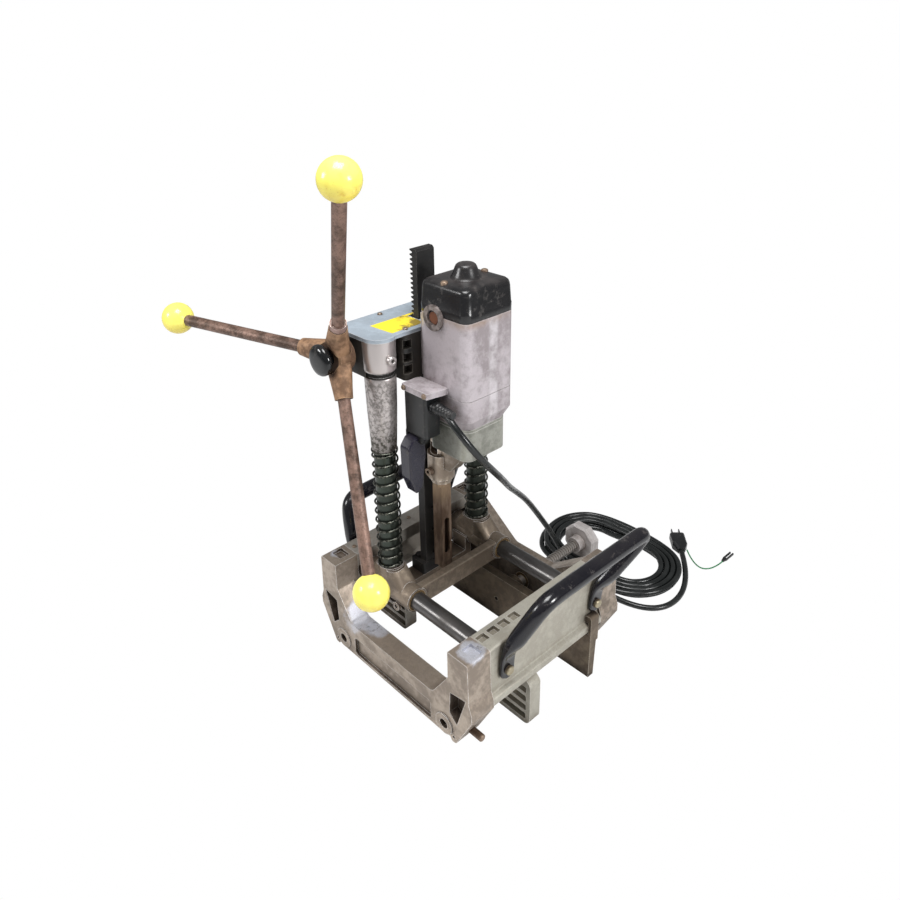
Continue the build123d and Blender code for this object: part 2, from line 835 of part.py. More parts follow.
with BuildPart() as sleeves:
    with BuildSketch(Plane.XY.offset(sleeve_foot_z)):
        with Locations(*column_spots):
            Circle(24)
    extrude(amount=sleeve_step_z - sleeve_foot_z - 5)
    chamfer(sleeves.edges(), 3)
    with BuildSketch(Plane.XY.offset(sleeve_foot_z + 10)):
        with Locations(*column_spots):
            Circle(sleeve_radius)
    extrude(amount=head_top_z - sleeve_foot_z - 10)
    with BuildSketch(Plane.XY.offset(sleeve_step_z - 2)):
        with Locations(*column_spots):
            Circle(23)
    extrude(amount=4.9)
    with BuildSketch(Plane.XY.offset(sleeve_foot_z - 1)):
        with Locations(*column_spots):
            Circle(column_radius + running_gap)
    extrude(amount=head_top_z - sleeve_foot_z - 1, mode=Mode.SUBTRACT)
    # seats of the grease nipples
    with BuildSketch(Plane.YZ.offset(head_right_x - 3)):
        with Locations((-column_y, 478), (column_y, 478)):
            Circle(3)
    extrude(amount=5, mode=Mode.SUBTRACT)
save(sleeves, "sleeves")

with BuildPart() as grease_nipples:
    with BuildSketch(Plane.YZ.offset(head_right_x - 3)):
        with Locations((-column_y, 478), (column_y, 478)):
            Circle(3)
    extrude(amount=10)
    with BuildSketch(Plane.YZ.offset(head_right_x + 2)):
        with Locations((-column_y, 478), (column_y, 478)):
            Circle(4)
    extrude(amount=3)
save(grease_nipples, "grease_nipples")

cover_screw_spots = [(-119, -98), (-119, 98), (-119, -40), (-119, 40), (-54, -52), (-54, 52)]

with BuildPart() as top_cover:
    with BuildSketch(Plane.XY.offset(head_top_z)):
        with Locations(((head_left_x + head_right_x) / 2, 0)):
            RectangleRounded(head_right_x - head_left_x, 2 * column_y, 4)
        with Locations(((head_left_x + column_x) / 2, 0)):
            RectangleRounded(column_x - head_left_x, 2 * column_y + 46, 6)
        with Locations(*column_spots):
            Circle(23)
        with Locations((-78.5, 0)):
            Rectangle(21, 34, mode=Mode.SUBTRACT)
        with Locations(*cover_screw_spots):
            Circle(1.6, mode=Mode.SUBTRACT)
    extrude(amount=cover_z - head_top_z)
save(top_cover, "top_cover")

with BuildPart() as cover_screws:
    with BuildSketch(Plane.XY.offset(cover_z)):
        with Locations(*cover_screw_spots):
            Circle(3.4)
    extrude(amount=2.2)
    chamfer(cover_screws.faces().group_by(Axis.Z)[-1].edges(), 0.8)
    with BuildSketch(Plane.XY.offset(head_top_z)):
        with Locations(*cover_screw_spots):
            Circle(1.5)
    extrude(amount=cover_z - head_top_z)
save(cover_screws, "cover_screws")

# ======================================================================
# Motor
# ======================================================================

brush_x = -10.0
brush_z = 531.0
shell_radius = 37.0
armature_radius = 22.0

with BuildPart() as motor_housing:
    with BuildSketch(Plane.XY.offset(motor_foot_z + 14)):
        with Locations((motor_x, 0)):
            RectangleRounded(2 * motor_half, 2 * motor_half, 12)
    extrude(amount=motor_top_z - motor_foot_z - 14)
    with BuildSketch(Plane.XY.offset(motor_foot_z)):
        with Locations((motor_x, 0)):
            RectangleRounded(74, 74, 16)
    with BuildSketch(Plane.XY.offset(motor_foot_z + 14)):
        with Locations((motor_x, 0)):
            RectangleRounded(2 * motor_half, 2 * motor_half, 12)
    loft()
    # parting line between the lower ring and the body
    with BuildSketch(Plane.XY.offset(432.5)):
        with Locations((motor_x, 0)):
            RectangleRounded(2 * motor_half + 2, 2 * motor_half + 2, 13)
            RectangleRounded(2 * motor_half - 1.4, 2 * motor_half - 1.4, 11.3, mode=Mode.SUBTRACT)
    extrude(amount=1.2, mode=Mode.SUBTRACT)
    # mounting pad against the head
    with BuildSketch(Plane.YZ.offset(head_right_x)):
        with Locations((0, 484)):
            Rectangle(64, 84)
    extrude(amount=10)
    with BuildSketch(Plane.XY.offset(motor_foot_z + 8)):
        with Locations((motor_x, 0)):
            Circle(shell_radius)
    extrude(amount=motor_top_z, mode=Mode.SUBTRACT)
    with BuildSketch(Plane.XY.offset(motor_foot_z - 1)):
        with Locations((motor_x, 0)):
            Circle(9)
    extrude(amount=12, mode=Mode.SUBTRACT)
    with BuildSketch(Plane.XZ.offset(50)):
        with Locations((brush_x, brush_z)):
            Circle(16.5)
    extrude(amount=-13, mode=Mode.SUBTRACT)
    with BuildSketch(Plane.XZ.offset(-50)):
        with Locations((brush_x, brush_z)):
            Circle(16.5)
    extrude(amount=13, mode=Mode.SUBTRACT)
save(motor_housing, "motor_housing")

with BuildPart() as motor_cap:
    with BuildSketch(Plane.XY.offset(motor_top_z)):
        with Locations((motor_x, 0)):
            RectangleRounded(2 * motor_half, 2 * motor_half, 12)
    extrude(amount=18)
    with BuildSketch(Plane.XY.offset(motor_top_z + 18)):
        with Locations((motor_x, 0)):
            RectangleRounded(2 * motor_half, 2 * motor_half, 12)
    with BuildSketch(Plane.XY.offset(cap_top_z)):
        with Locations((motor_x, 0)):
            RectangleRounded(62, 62, 14)
    loft()
    with BuildSketch(Plane.XY.offset(cap_top_z - 6)):
        with Locations((motor_x, 0)):
            Circle(22)
    with BuildSketch(Plane.XY.offset(cap_top_z + 19)):
        with Locations((motor_x, 0)):
            Circle(13)
    loft()
    fillet(motor_cap.faces().sort_by(Axis.Z)[-1].edges(), 4)
    with BuildSketch(Plane.XY.offset(motor_top_z)):
        with Locations((motor_x, 0)):
            Circle(shell_radius - 3)
    extrude(amount=20, mode=Mode.SUBTRACT)
    with BuildSketch(Plane.XY.offset(motor_top_z)):
        with Locations((motor_x, 0)):
            Circle(9)
    extrude(amount=30, mode=Mode.SUBTRACT)
    with BuildSketch(Plane.XY.offset(cap_top_z - 10)):
        with Locations((motor_x, -35), (motor_x, 35)):
            Circle(4.6)
    extrude(amount=20, mode=Mode.SUBTRACT)
    with BuildSketch(Plane.XZ.offset(50)):
        with Locations((brush_x, brush_z)):
            Circle(16.5)
    extrude(amount=-13, mode=Mode.SUBTRACT)
    with BuildSketch(Plane.XZ.offset(-50)):
        with Locations((brush_x, brush_z)):
            Circle(16.5)
    extrude(amount=13, mode=Mode.SUBTRACT)
save(motor_cap, "motor_cap")

with BuildPart() as cap_screws:
    with BuildSketch(Plane.XY.offset(cap_top_z - 10)):
        with Locations((motor_x, -35), (motor_x, 35)):
            Circle(4.2)
    extrude(amount=3.4)
    chamfer(cap_screws.faces().group_by(Axis.Z)[-1].edges(), 0.8)
save(cap_screws, "cap_screws")

with BuildPart() as brush_caps:
    with BuildSketch(Plane.XZ.offset(45.5)):
        with Locations((brush_x, brush_z)):
            Circle(16.5)
    extrude(amount=-8.5)
    with BuildSketch(Plane.XZ.offset(45.5)):
        with Locations((brush_x, brush_z)):
            Circle(10)
    extrude(amount=-3.5, mode=Mode.SUBTRACT)
    with BuildSketch(Plane.XZ.offset(42)):
        with Locations((brush_x, brush_z)):
            Circle(7.5)
    extrude(amount=1.5)
    mirror(about=Plane.XZ)
save(brush_caps, "brush_caps")

with BuildPart() as stator:
    with BuildSketch(Plane.XY.offset(432)):
        with Locations((motor_x, 0)):
            Circle(shell_radius)
            Circle(armature_radius + 1, mode=Mode.SUBTRACT)
    extrude(amount=66)
save(stator, "stator")

with BuildPart() as armature:
    with BuildSketch(Plane.XY.offset(fast_gear_z - 4)):
        with Locations((motor_x, 0)):
            Circle(5)
    extrude(amount=562 - fast_gear_z + 4)
    with BuildSketch(Plane.XY.offset(434)):
        with Locations((motor_x, 0)):
            Circle(armature_radius)
            with PolarLocations(armature_radius, 12):
                Rectangle(5, 2.5, mode=Mode.SUBTRACT)
    extrude(amount=62)
    with BuildSketch(Plane.XY.offset(510)):
        with Locations((motor_x, 0)):
            Circle(13)
    extrude(amount=18)
    with BuildSketch(Plane.XY.offset(fast_gear_z)):
        with Locations((motor_x, 0)):
            Polygon(*tooth_ring(fast_module, armature_teeth, 0, addendum=0.9), align=None)
    extrude(amount=10)
save(armature, "armature")

with BuildPart() as cooling_fan:
    with BuildSketch(Plane.XY.offset(406)):
        with Locations((motor_x, 0)):
            Circle(34)
            Circle(5, mode=Mode.SUBTRACT)
    extrude(amount=2)
    with BuildSketch(Plane.XY.offset(408)):
        with Locations((motor_x, 0)):
            with PolarLocations(22, 12):
                Rectangle(20, 1.6, rotation=30)
    extrude(amount=11)
    with BuildSketch(Plane.XY.offset(408)):
        with Locations((motor_x, 0)):
            Circle(9)
            Circle(5, mode=Mode.SUBTRACT)
    extrude(amount=11)
save(cooling_fan, "cooling_fan")

with BuildPart() as motor_bearings:
    for z in (motor_foot_z, cap_top_z - 17):
        with BuildSketch(Plane.XY.offset(z)):
            with Locations((motor_x, 0)):
                Circle(9)
                Circle(5 + running_gap, mode=Mode.SUBTRACT)
        extrude(amount=7)
save(motor_bearings, "motor_bearings")

# ======================================================================
# Gear housing, gears, spindle, chisel and its holder
# ======================================================================

housing_foot_z = 345.0
housing_rim_z = 386.0


def gear_outline(margin):
    """Outline of the gear housing, grown by a margin round each gear."""
    with Locations((motor_x, 0)):
        Circle(9.5 + margin)
    with Locations((idler_x, 0)):
        Circle(20.6 + margin)
    with Locations((spindle_x, 0)):
        Circle(16.3 + margin)


with BuildPart() as gear_housing:
    with BuildSketch(Plane.XY.offset(housing_foot_z)):
        gear_outline(2.7)
        with Locations((motor_x, 0)):
            RectangleRounded(74, 74, 14)
    extrude(amount=housing_rim_z - housing_foot_z)
    with BuildSketch(Plane.XY.offset(housing_foot_z + 9)):
        gear_outline(0)
    extrude(amount=housing_rim_z, mode=Mode.SUBTRACT)
    with BuildSketch(Plane.XY.offset(housing_foot_z - 1)):
        with Locations((spindle_x, 0)):
            Circle(11)
    extrude(amount=12, mode=Mode.SUBTRACT)
    with BuildSketch(Plane.XY.offset(housing_foot_z + 3)):
        with Locations((idler_x, 0)):
            Circle(4 + running_gap)
    extrude(amount=10, mode=Mode.SUBTRACT)
    # hollow under the motor side
    with BuildSketch(Plane.XY.offset(housing_foot_z)):
        with Locations((18, -19), (18, 19)):
            RectangleRounded(30, 22, 4)
    extrude(amount=20, mode=Mode.SUBTRACT)
save(gear_housing, "gear_housing")

with BuildPart() as gear_cover:
    with BuildSketch(Plane.XY.offset(housing_rim_z)):
        gear_outline(2.7)
        with Locations((motor_x, 0)):
            RectangleRounded(74, 74, 14)
    extrude(amount=motor_foot_z - housing_rim_z)
    with BuildSketch(Plane.XY.offset(motor_foot_z)):
        with Locations((spindle_x, 0)):
            Circle(11)
    extrude(amount=8)
    with BuildSketch(Plane.XY.offset(housing_rim_z - 1)):
        with Locations((spindle_x, 0)):
            Circle(9)
        with Locations((motor_x, 0)):
            Circle(6.5)
    extrude(amount=10, mode=Mode.SUBTRACT)
    with BuildSketch(Plane.XY.offset(housing_rim_z - 1)):
        with Locations((idler_x, 0)):
            Circle(4 + running_gap)
    extrude(amount=3.5, mode=Mode.SUBTRACT)
save(gear_cover, "gear_cover")

with BuildPart() as idler_gear:
    with BuildSketch(Plane.XY.offset(housing_foot_z + 4)):
        with Locations((idler_x, 0)):
            Circle(4)
    extrude(amount=housing_rim_z + 2 - housing_foot_z - 4)
    with BuildSketch(Plane.XY.offset(fast_gear_z)):
        with Locations((idler_x, 0)):
            Polygon(*tooth_ring(fast_module, idler_big_teeth, 6, addendum=0.9), align=None)
    extrude(amount=10)
    with BuildSketch(Plane.XY.offset(slow_gear_z)):
        with Locations((idler_x, 0)):
            Polygon(*tooth_ring(slow_module, idler_small_teeth, 0, addendum=0.9), align=None)
    extrude(amount=fast_gear_z - slow_gear_z)
save(idler_gear, "idler_gear")

with BuildPart() as spindle_bearings:
    with BuildSketch(Plane.XY.offset(housing_foot_z)):
        with Locations((spindle_x, 0)):
            Circle(11)
            Circle(6 + running_gap, mode=Mode.SUBTRACT)
    extrude(amount=8)
    with BuildSketch(Plane.XY.offset(housing_rim_z)):
        with Locations((spindle_x, 0)):
            Circle(9)
            Circle(5 + running_gap, mode=Mode.SUBTRACT)
    extrude(amount=8)
save(spindle_bearings, "spindle_bearings")

spindle_foot_z = 310.0

with BuildPart() as spindle:
    with BuildSketch(Plane.XY.offset(spindle_foot_z)):
        with Locations((spindle_x, 0)):
            Circle(6)
    extrude(amount=slow_gear_z - spindle_foot_z + 2)
    with BuildSketch(Plane.XY.offset(slow_gear_z)):
        with Locations((spindle_x, 0)):
            Circle(5)
    extrude(amount=housing_rim_z + 7 - slow_gear_z)
    with BuildSketch(Plane.XY.offset(slow_gear_z)):
        with Locations((spindle_x, 0)):
            Polygon(
                *tooth_ring(slow_module, spindle_teeth, 180 / spindle_teeth, addendum=0.9), align=None
            )
    extrude(amount=11)
    with BuildSketch(Plane.XY.offset(spindle_foot_z)):
        with Locations((spindle_x, 0)):
            Circle(3)
    extrude(amount=30, mode=Mode.SUBTRACT)
save(spindle, "spindle")

holder_foot_z = 268.0

with BuildPart() as chisel_holder:
    with BuildSketch(Plane.XY.offset(holder_foot_z)):
        with Locations((spindle_x, 0)):
            Circle(14.5)
    extrude(amount=housing_foot_z - holder_foot_z)
    with BuildSketch(Plane.XY.offset(holder_foot_z + 8)):
        with Locations((spindle_x, 0)):
            Circle(19)
    extrude(amount=38)
    # clamp bracket under the gear housing
    with BuildSketch(Plane.XZ.offset(10)):
        with BuildLine():
            FilletPolyline(
                (spindle_x, 300),
                (spindle_x, housing_foot_z),
                (8, housing_foot_z),
                (8, 334),
                (-22, 296),
                (-34, 296),
                radius=[0, 0, 3, 6, 4, 0],
                close=True,
            )
        make_face()
    extrude(amount=-20)
    with BuildSketch(Plane.XY.offset(holder_foot_z - 1)):
        with Locations((spindle_x, 0)):
            Circle(8)
    extrude(amount=80, mode=Mode.SUBTRACT)
    with BuildSketch(Plane.XY.offset(holder_foot_z - 1)):
        with Locations((spindle_x, 0)):
            Circle(10)
    extrude(amount=33, mode=Mode.SUBTRACT)
    # window over the bit clamp, and seat of the chisel screw
    with BuildSketch(Plane.XZ.offset(25)):
        with Locations((spindle_x, 324)):
            RectangleRounded(14, 18, 3)
    extrude(amount=-25, mode=Mode.SUBTRACT)
    with BuildSketch(Plane.XZ.offset(25)):
        with Locations((spindle_x, 290)):
            Circle(3.5)
    extrude(amount=-20, mode=Mode.SUBTRACT)
save(chisel_holder, "chisel_holder")

with BuildPart() as chisel_screw:
    with BuildSketch(Plane.XZ.offset(25)):
        with Locations((spindle_x, 290)):
            Circle(5.5)
            RegularPolygon(3, 6, mode=Mode.SUBTRACT)
    extrude(amount=-6)
    with BuildSketch(Plane.XZ.offset(21)):
        with Locations((spindle_x, 290)):
            Circle(3.5)
    extrude(amount=-11)
save(chisel_screw, "chisel_screw")

chisel_shoulder_z = 262.0
chisel_plane = Plane.XY.offset(chisel_foot_z)

with BuildPart() as chisel:
    with BuildSketch(chisel_plane):
        with Locations((spindle_x, 0)):
            Rectangle(chisel_side, chisel_side)
    extrude(amount=chisel_shoulder_z - chisel_foot_z)
    with BuildSketch(Plane.XY.offset(chisel_shoulder_z)):
        with Locations((spindle_x, 0)):
            Circle(12.6)
    extrude(amount=holder_foot_z - chisel_shoulder_z)
    with BuildSketch(Plane.XY.offset(holder_foot_z)):
        with Locations((spindle_x, 0)):
            Circle(10)
    extrude(amount=31)
    with BuildSketch(Plane.XY.offset(chisel_foot_z - 1)):
        with Locations((spindle_x, 0)):
            Circle(7.2)
    extrude(amount=200, mode=Mode.SUBTRACT)
    # four cutting points, and the chip window on the side towards the levers
    with BuildSketch(chisel_plane):
        with Locations((spindle_x, 0)):
            Circle(chisel_side * 0.75)
    with BuildSketch(Plane.XY.offset(chisel_foot_z + 9)):
        with Locations((spindle_x, 0)):
            Circle(1)
    loft(mode=Mode.SUBTRACT)
    with BuildSketch(Plane.YZ.offset(spindle_x + chisel_side)):
        with Locations((0, 178)):
            SlotOverall(60, 10, rotation=90)
    extrude(amount=-chisel_side, mode=Mode.SUBTRACT)
    with BuildSketch(Plane.XZ.offset(11)):
        with Locations((spindle_x, 290)):
            Circle(2.5)
    extrude(amount=-4, mode=Mode.SUBTRACT)
save(chisel, "chisel")

with BuildPart() as auger_bit:
    with BuildSketch(Plane.XY.offset(chisel_foot_z - 1)):
        with Locations((spindle_x, 0)):
            Circle(3)
    extrude(amount=spindle_foot_z + 28 - chisel_foot_z)
    # cutting head with two spurs, and a lead point
    with BuildSketch(Plane.XY.offset(chisel_foot_z - 1)):
        with Locations((spindle_x, 0)):
            Circle(6.9)
            Rectangle(20, 3, mode=Mode.SUBTRACT)
    extrude(amount=5)
    with BuildSketch(Plane.XY.offset(chisel_foot_z + 4)):
        with Locations((spindle_x, 0)):
            Circle(6.9)
    extrude(amount=3)
    with BuildSketch(Plane.XY.offset(chisel_foot_z - 1)):
        with Locations((spindle_x, 0)):
            Circle(2)
    with BuildSketch(Plane.XY.offset(chisel_foot_z - 6)):
        with Locations((spindle_x, 0)):
            Circle(0.4)
    loft()
save(auger_bit, "auger_bit")

# ======================================================================
# Switch: bracket on the motor, box, trigger, cord gland
# ======================================================================

box_front_y = -70.0
box_foot_z = 377.0
bracket_foot_z = 436.0
pivot_y = -62.0
pivot_z = 371.0

with BuildPart() as switch_bracket:
    with BuildSketch(Plane.XY.offset(bracket_foot_z)):
        with BuildLine():
            FilletPolyline(
                (-41, -73),
                (6, -73),
                (12, -motor_half),
                (-38, -motor_half),
                (-41, -50),
                radius=[2, 2, 0, 0, 1],
                close=True,
            )
        make_face()
    extrude(amount=8)
    with BuildSketch(Plane.XZ.offset(74)):
        with Locations((-36, bracket_foot_z + 4), (2, bracket_foot_z + 4)):
            Circle(1.8)
    extrude(amount=-9, mode=Mode.SUBTRACT)
save(switch_bracket, "switch_bracket")

with BuildPart() as bracket_screws:
    with BuildSketch(Plane.XZ.offset(73)):
        with Locations((-36, bracket_foot_z + 4), (2, bracket_foot_z + 4)):
            Circle(3.4)
    extrude(amount=2.4)
    chamfer(bracket_screws.faces().group_by(Axis.Y)[0].edges(), 0.7)
    with BuildSketch(Plane.XZ.offset(73)):
        with Locations((-36, bracket_foot_z + 4), (2, bracket_foot_z + 4)):
            Circle(1.7)
    extrude(amount=-7)
save(bracket_screws, "bracket_screws")

with BuildPart() as switch_box:
    with BuildSketch(Plane.XY.offset(box_foot_z)):
        with Locations((-20.5, box_front_y + 13)):
            RectangleRounded(41, 26, 4)
    extrude(amount=bracket_foot_z - box_foot_z)
    # ears that carry the trigger
    for ear_x in (-40.5, -16):
        with BuildSketch(Plane.YZ.offset(ear_x)):
            with BuildLine():
                FilletPolyline(
                    (-69, box_foot_z + 1),
                    (-69, 364),
                    (-55, 364),
                    (-55, box_foot_z + 1),
                    radius=[0, 6, 6, 0],
                    close=True,
                )
            make_face()
        extrude(amount=4.5)
    with BuildSketch(Plane.YZ.offset(-42)):
        with Locations((pivot_y, pivot_z)):
            Circle(2.8)
    extrude(amount=32, mode=Mode.SUBTRACT)
save(switch_box, "switch_box")

with BuildPart() as trigger:
    with BuildSketch(Plane.YZ.offset(-35.5)):
        with BuildLine():
            FilletPolyline(
                (-57, 374),
                (-76, 374),
                (-85, 362),
                (-84, 318),
                (-74, 291),
                (-63, 300),
                (-56, 345),
                radius=[3, 6, 8, 12, 3, 6, 10],
                close=True,
            )
        make_face()
    extrude(amount=19)
    chamfer(trigger.faces().filter_by(Axis.X).edges(), 1.6)
    with BuildSketch(Plane.YZ.offset(-40)):
        with Locations((pivot_y, pivot_z)):
            Circle(2.5)
    extrude(amount=28)
save(trigger, "trigger")

gland_y = -57.0
gland_z = 420.0

with BuildPart() as cord_gland:
    with BuildSketch(Plane.YZ.offset(0)):
        with Locations((gland_y, gland_z)):
            Circle(8)
            Circle(5.8, mode=Mode.SUBTRACT)
    extrude(amount=5)
    with BuildSketch(Plane.YZ.offset(5)):
        with Locations((gland_y, gland_z)):
            Circle(7)
            Circle(5.8, mode=Mode.SUBTRACT)
    extrude(amount=4)
save(cord_gland, "cord_gland")

# ======================================================================
# Cord: two hanging leads, a hank on the floor, a tail with the plug, and an earth lead
# ======================================================================


def fair_radii(points):
    """Bend radius at each corner of a route, 0.45 of the shorter run beside it."""
    radii = []
    for before, corner, after in zip(points, points[1:], points[2:]):
        first = Vector(corner) - Vector(before)
        second = Vector(after) - Vector(corner)
        half_turn = acos(first.normalized().dot(second.normalized())) / 2
        radii.append(0.45 * min(first.length, second.length) / tan(half_turn))
    return radii


def flexible_lead(points, radius):
    """A round lead along a route of smoothly joined runs."""
    radii = fair_radii(points)
    with BuildPart() as lead:
        with BuildLine() as centre:
            FilletPolyline(*points, radius=radii)
        with BuildSketch(Plane(origin=centre.line @ 0, z_dir=centre.line % 0)):
            Circle(radius)
        sweep()
    length = sum(edge.length for edge in centre.edges())
    print("bend radii", [round(value, 1) for value in radii], "length", round(length, 1))
    print("volume over section by length", round(lead.part.volume / (pi * radius**2 * length), 4))
    return lead


upper_route = [
    (0.2, gland_y, gland_z),
    (20, gland_y, gland_z),
    (48, -60, 403),
    (73, -40, 364),
    (68, 0, 322),
    (8, 62, 262),
]
cord_lead_upper = flexible_lead(upper_route, cord_radius)
save(cord_lead_upper, "cord_lead_upper")

hank_y = 322.0
hank_right_x = 56.0
hank_left_x = -24.0
hank_radius = 82.5         # centre of the outermost strand
strand_pitch = 9.6
low_z = 4.7
high_z = 14.2
near_y = hank_y - hank_radius
straight_end = 9.0

lower_route = [
    (8, 62, 262),
    (-20.5, 91.45, 233.5),
    (-50, 160, 168),
    (-62, 205, 108),
    (-45, 232, 62),
    (0, near_y, high_z),
    (hank_right_x - straight_end, near_y, high_z),
]
cord_lead_lower = flexible_lead(lower_route, cord_radius)
save(cord_lead_lower, "cord_lead_lower")

half_turns = 7


def half_loop(x, start_y, end_y, z, bulge):
    """Half circle round one end of the hank."""
    ThreePointArc((x, start_y, z), (x + bulge * abs(end_y - start_y) / 2, (start_y + end_y) / 2, z), (x, end_y, z))


with BuildPart() as cord_coil:
    with BuildLine() as strand:
        # the upper layer winds in, the lower layer winds out again
        lanes = [near_y]
        for step in range(half_turns):
            turn_width = 2 * hank_radius - strand_pitch * step
            lanes.append(lanes[-1] + (turn_width if step % 2 == 0 else -turn_width))
        Line((hank_right_x - straight_end, near_y, high_z), (hank_right_x, near_y, high_z))
        for step in range(half_turns):
            end_x, bulge = ((hank_right_x, 1), (hank_left_x, -1))[step % 2]
            half_loop(end_x, lanes[step], lanes[step + 1], high_z, bulge)
            if step < half_turns - 1:
                other_x = (hank_left_x, hank_right_x)[step % 2]
                Line((end_x, lanes[step + 1], high_z), (other_x, lanes[step + 1], high_z))
        inner_y = lanes[-1]
        biarc(
            Vector(hank_right_x, inner_y, high_z),
            Vector(hank_left_x, inner_y, low_z),
            Vector(-1, 0, 0),
            Vector(-1, 0, 0),
        )
        back_lanes = [inner_y] + [lanes[step] for step in range(half_turns - 1, -1, -1)]
        for step in range(half_turns):
            end_x, bulge = ((hank_left_x, -1), (hank_right_x, 1))[step % 2]
            half_loop(end_x, back_lanes[step], back_lanes[step + 1], low_z, bulge)
            other_x = (hank_right_x, hank_left_x)[step % 2]
            Line((end_x, back_lanes[step + 1], low_z), (other_x, back_lanes[step + 1], low_z))
        Line((hank_right_x, near_y, low_z), (hank_right_x + straight_end, near_y, low_z))
    with BuildSketch(Plane(origin=strand.line @ 0, x_dir=(0, 1, 0), z_dir=strand.line % 0)):
        Circle(cord_radius)
    sweep()
save(cord_coil, "cord_coil")
hank_length = sum(edge.length for edge in strand.edges())
print("hank length", round(hank_length, 1), "least gap", round(min(strand_pitch, high_z - low_z) - 9, 2))
print("volume over section by length", round(cord_coil.part.volume / (pi * cord_radius**2 * hank_length), 4))

plug_spot = Vector(100, 415, 10)
tail_route = [
    (hank_right_x + straight_end, near_y, low_z),
    (152, near_y, low_z),
    (166, 345, 6),
    (plug_spot.X, plug_spot.Y, plug_spot.Z),
]
cord_tail = flexible_lead(tail_route, cord_radius)
save(cord_tail, "cord_tail")

plug_heading = (plug_spot - Vector(*tail_route[-2])).normalized()
plug_plane = Plane(origin=plug_spot, x_dir=(plug_heading.Y, -plug_heading.X, 0), z_dir=plug_heading)

with BuildPart() as cord_plug:
    with BuildSketch(plug_plane):
        RectangleRounded(13, 12, 5)
    with BuildSketch(plug_plane.offset(14)):
        RectangleRounded(25, 18, 5)
    loft()
    with BuildSketch(plug_plane.offset(14)):
        RectangleRounded(25, 18, 5)
    extrude(amount=26)
    with BuildSketch(plug_plane.offset(40)):
        with Locations((-6.3, 0), (6.3, 0)):
            Rectangle(1.6, 6.4)
    extrude(amount=17)
save(cord_plug, "cord_plug")

earth_start = plug_plane.from_local_coords(Vector(10.2, 0, 4))
earth_route = [
    (earth_start.X, earth_start.Y, earth_start.Z),
    (132, 404, 1.4),
    (158, 416, 1.4),
    (158, 450, 1.4),
]
earth_lead = flexible_lead(earth_route, 1.1)
save(earth_lead, "earth_lead")

with BuildPart() as earth_clip:
    clip_plane = Plane(origin=(158, 450, 2.6), x_dir=(1, 0, 0), z_dir=(0, 1, 0))
    with BuildSketch(clip_plane):
        RectangleRounded(4, 4, 1)
    with BuildSketch(clip_plane.offset(9)):
        RectangleRounded(8, 4.6, 1)
    loft()
    with BuildSketch(clip_plane.offset(9)):
        with Locations((-2.6, 0), (2.6, 0)):
            RectangleRounded(2.6, 4, 1)
    extrude(amount=21)
save(earth_clip, "earth_clip")
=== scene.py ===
import bpy
import numpy as np
from mathutils import Matrix, Vector


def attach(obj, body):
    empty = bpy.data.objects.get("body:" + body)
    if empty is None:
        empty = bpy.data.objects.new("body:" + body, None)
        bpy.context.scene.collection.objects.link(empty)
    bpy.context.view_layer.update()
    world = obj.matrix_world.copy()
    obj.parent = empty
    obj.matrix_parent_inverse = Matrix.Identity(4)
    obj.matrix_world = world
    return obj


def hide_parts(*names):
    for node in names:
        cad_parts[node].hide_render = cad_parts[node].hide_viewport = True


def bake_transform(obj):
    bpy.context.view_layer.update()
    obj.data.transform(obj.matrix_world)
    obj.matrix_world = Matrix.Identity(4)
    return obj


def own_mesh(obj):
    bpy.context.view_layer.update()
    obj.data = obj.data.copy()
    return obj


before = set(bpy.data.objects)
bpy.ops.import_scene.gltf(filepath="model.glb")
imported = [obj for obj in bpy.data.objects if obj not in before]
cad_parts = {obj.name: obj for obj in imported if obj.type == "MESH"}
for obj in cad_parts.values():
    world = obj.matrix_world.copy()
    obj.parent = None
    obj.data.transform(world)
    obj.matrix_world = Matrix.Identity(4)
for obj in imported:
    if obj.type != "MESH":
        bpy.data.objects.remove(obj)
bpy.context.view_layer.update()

# ---------------------------------------------------------------------------
# End castings, side rails, jaw and carriage: sand-cast aluminium gone brown
# with oil and dust, rubbed bright on the edges and on the flat pads where
# timber and hands slide over them. The tools for every finish come first.
# ---------------------------------------------------------------------------


class Reading:
    """A number that changes over a surface: a shader socket that takes plain arithmetic."""

    def __init__(self, finish, socket):
        self.finish = finish
        self.socket = socket

    def work(self, operation, first, second):
        node = self.finish.put("ShaderNodeMath", {"operation": operation}, {0: first, 1: second})
        return Reading(self.finish, node.outputs[0])

    def __add__(self, other):
        return self.work("ADD", self, other)

    def __sub__(self, other):
        return self.work("SUBTRACT", self, other)

    def __rsub__(self, other):
        return self.work("SUBTRACT", other, self)

    def __mul__(self, other):
        return self.work("MULTIPLY", self, other)

    def __pow__(self, other):
        return self.work("POWER", self, other)

    __radd__ = __add__
    __rmul__ = __mul__

    def at_most(self, other):
        return self.work("MINIMUM", self, other)

    def at_least(self, other):
        return self.work("MAXIMUM", self, other)

    def between(self, low, high):
        """0 below low, 1 above high and a smooth step from one to the other."""
        settings = {"interpolation_type": "SMOOTHSTEP"}
        values = {"Value": self, "From Min": low, "From Max": high}
        node = self.finish.put("ShaderNodeMapRange", settings, values)
        return Reading(self.finish, node.outputs[0])


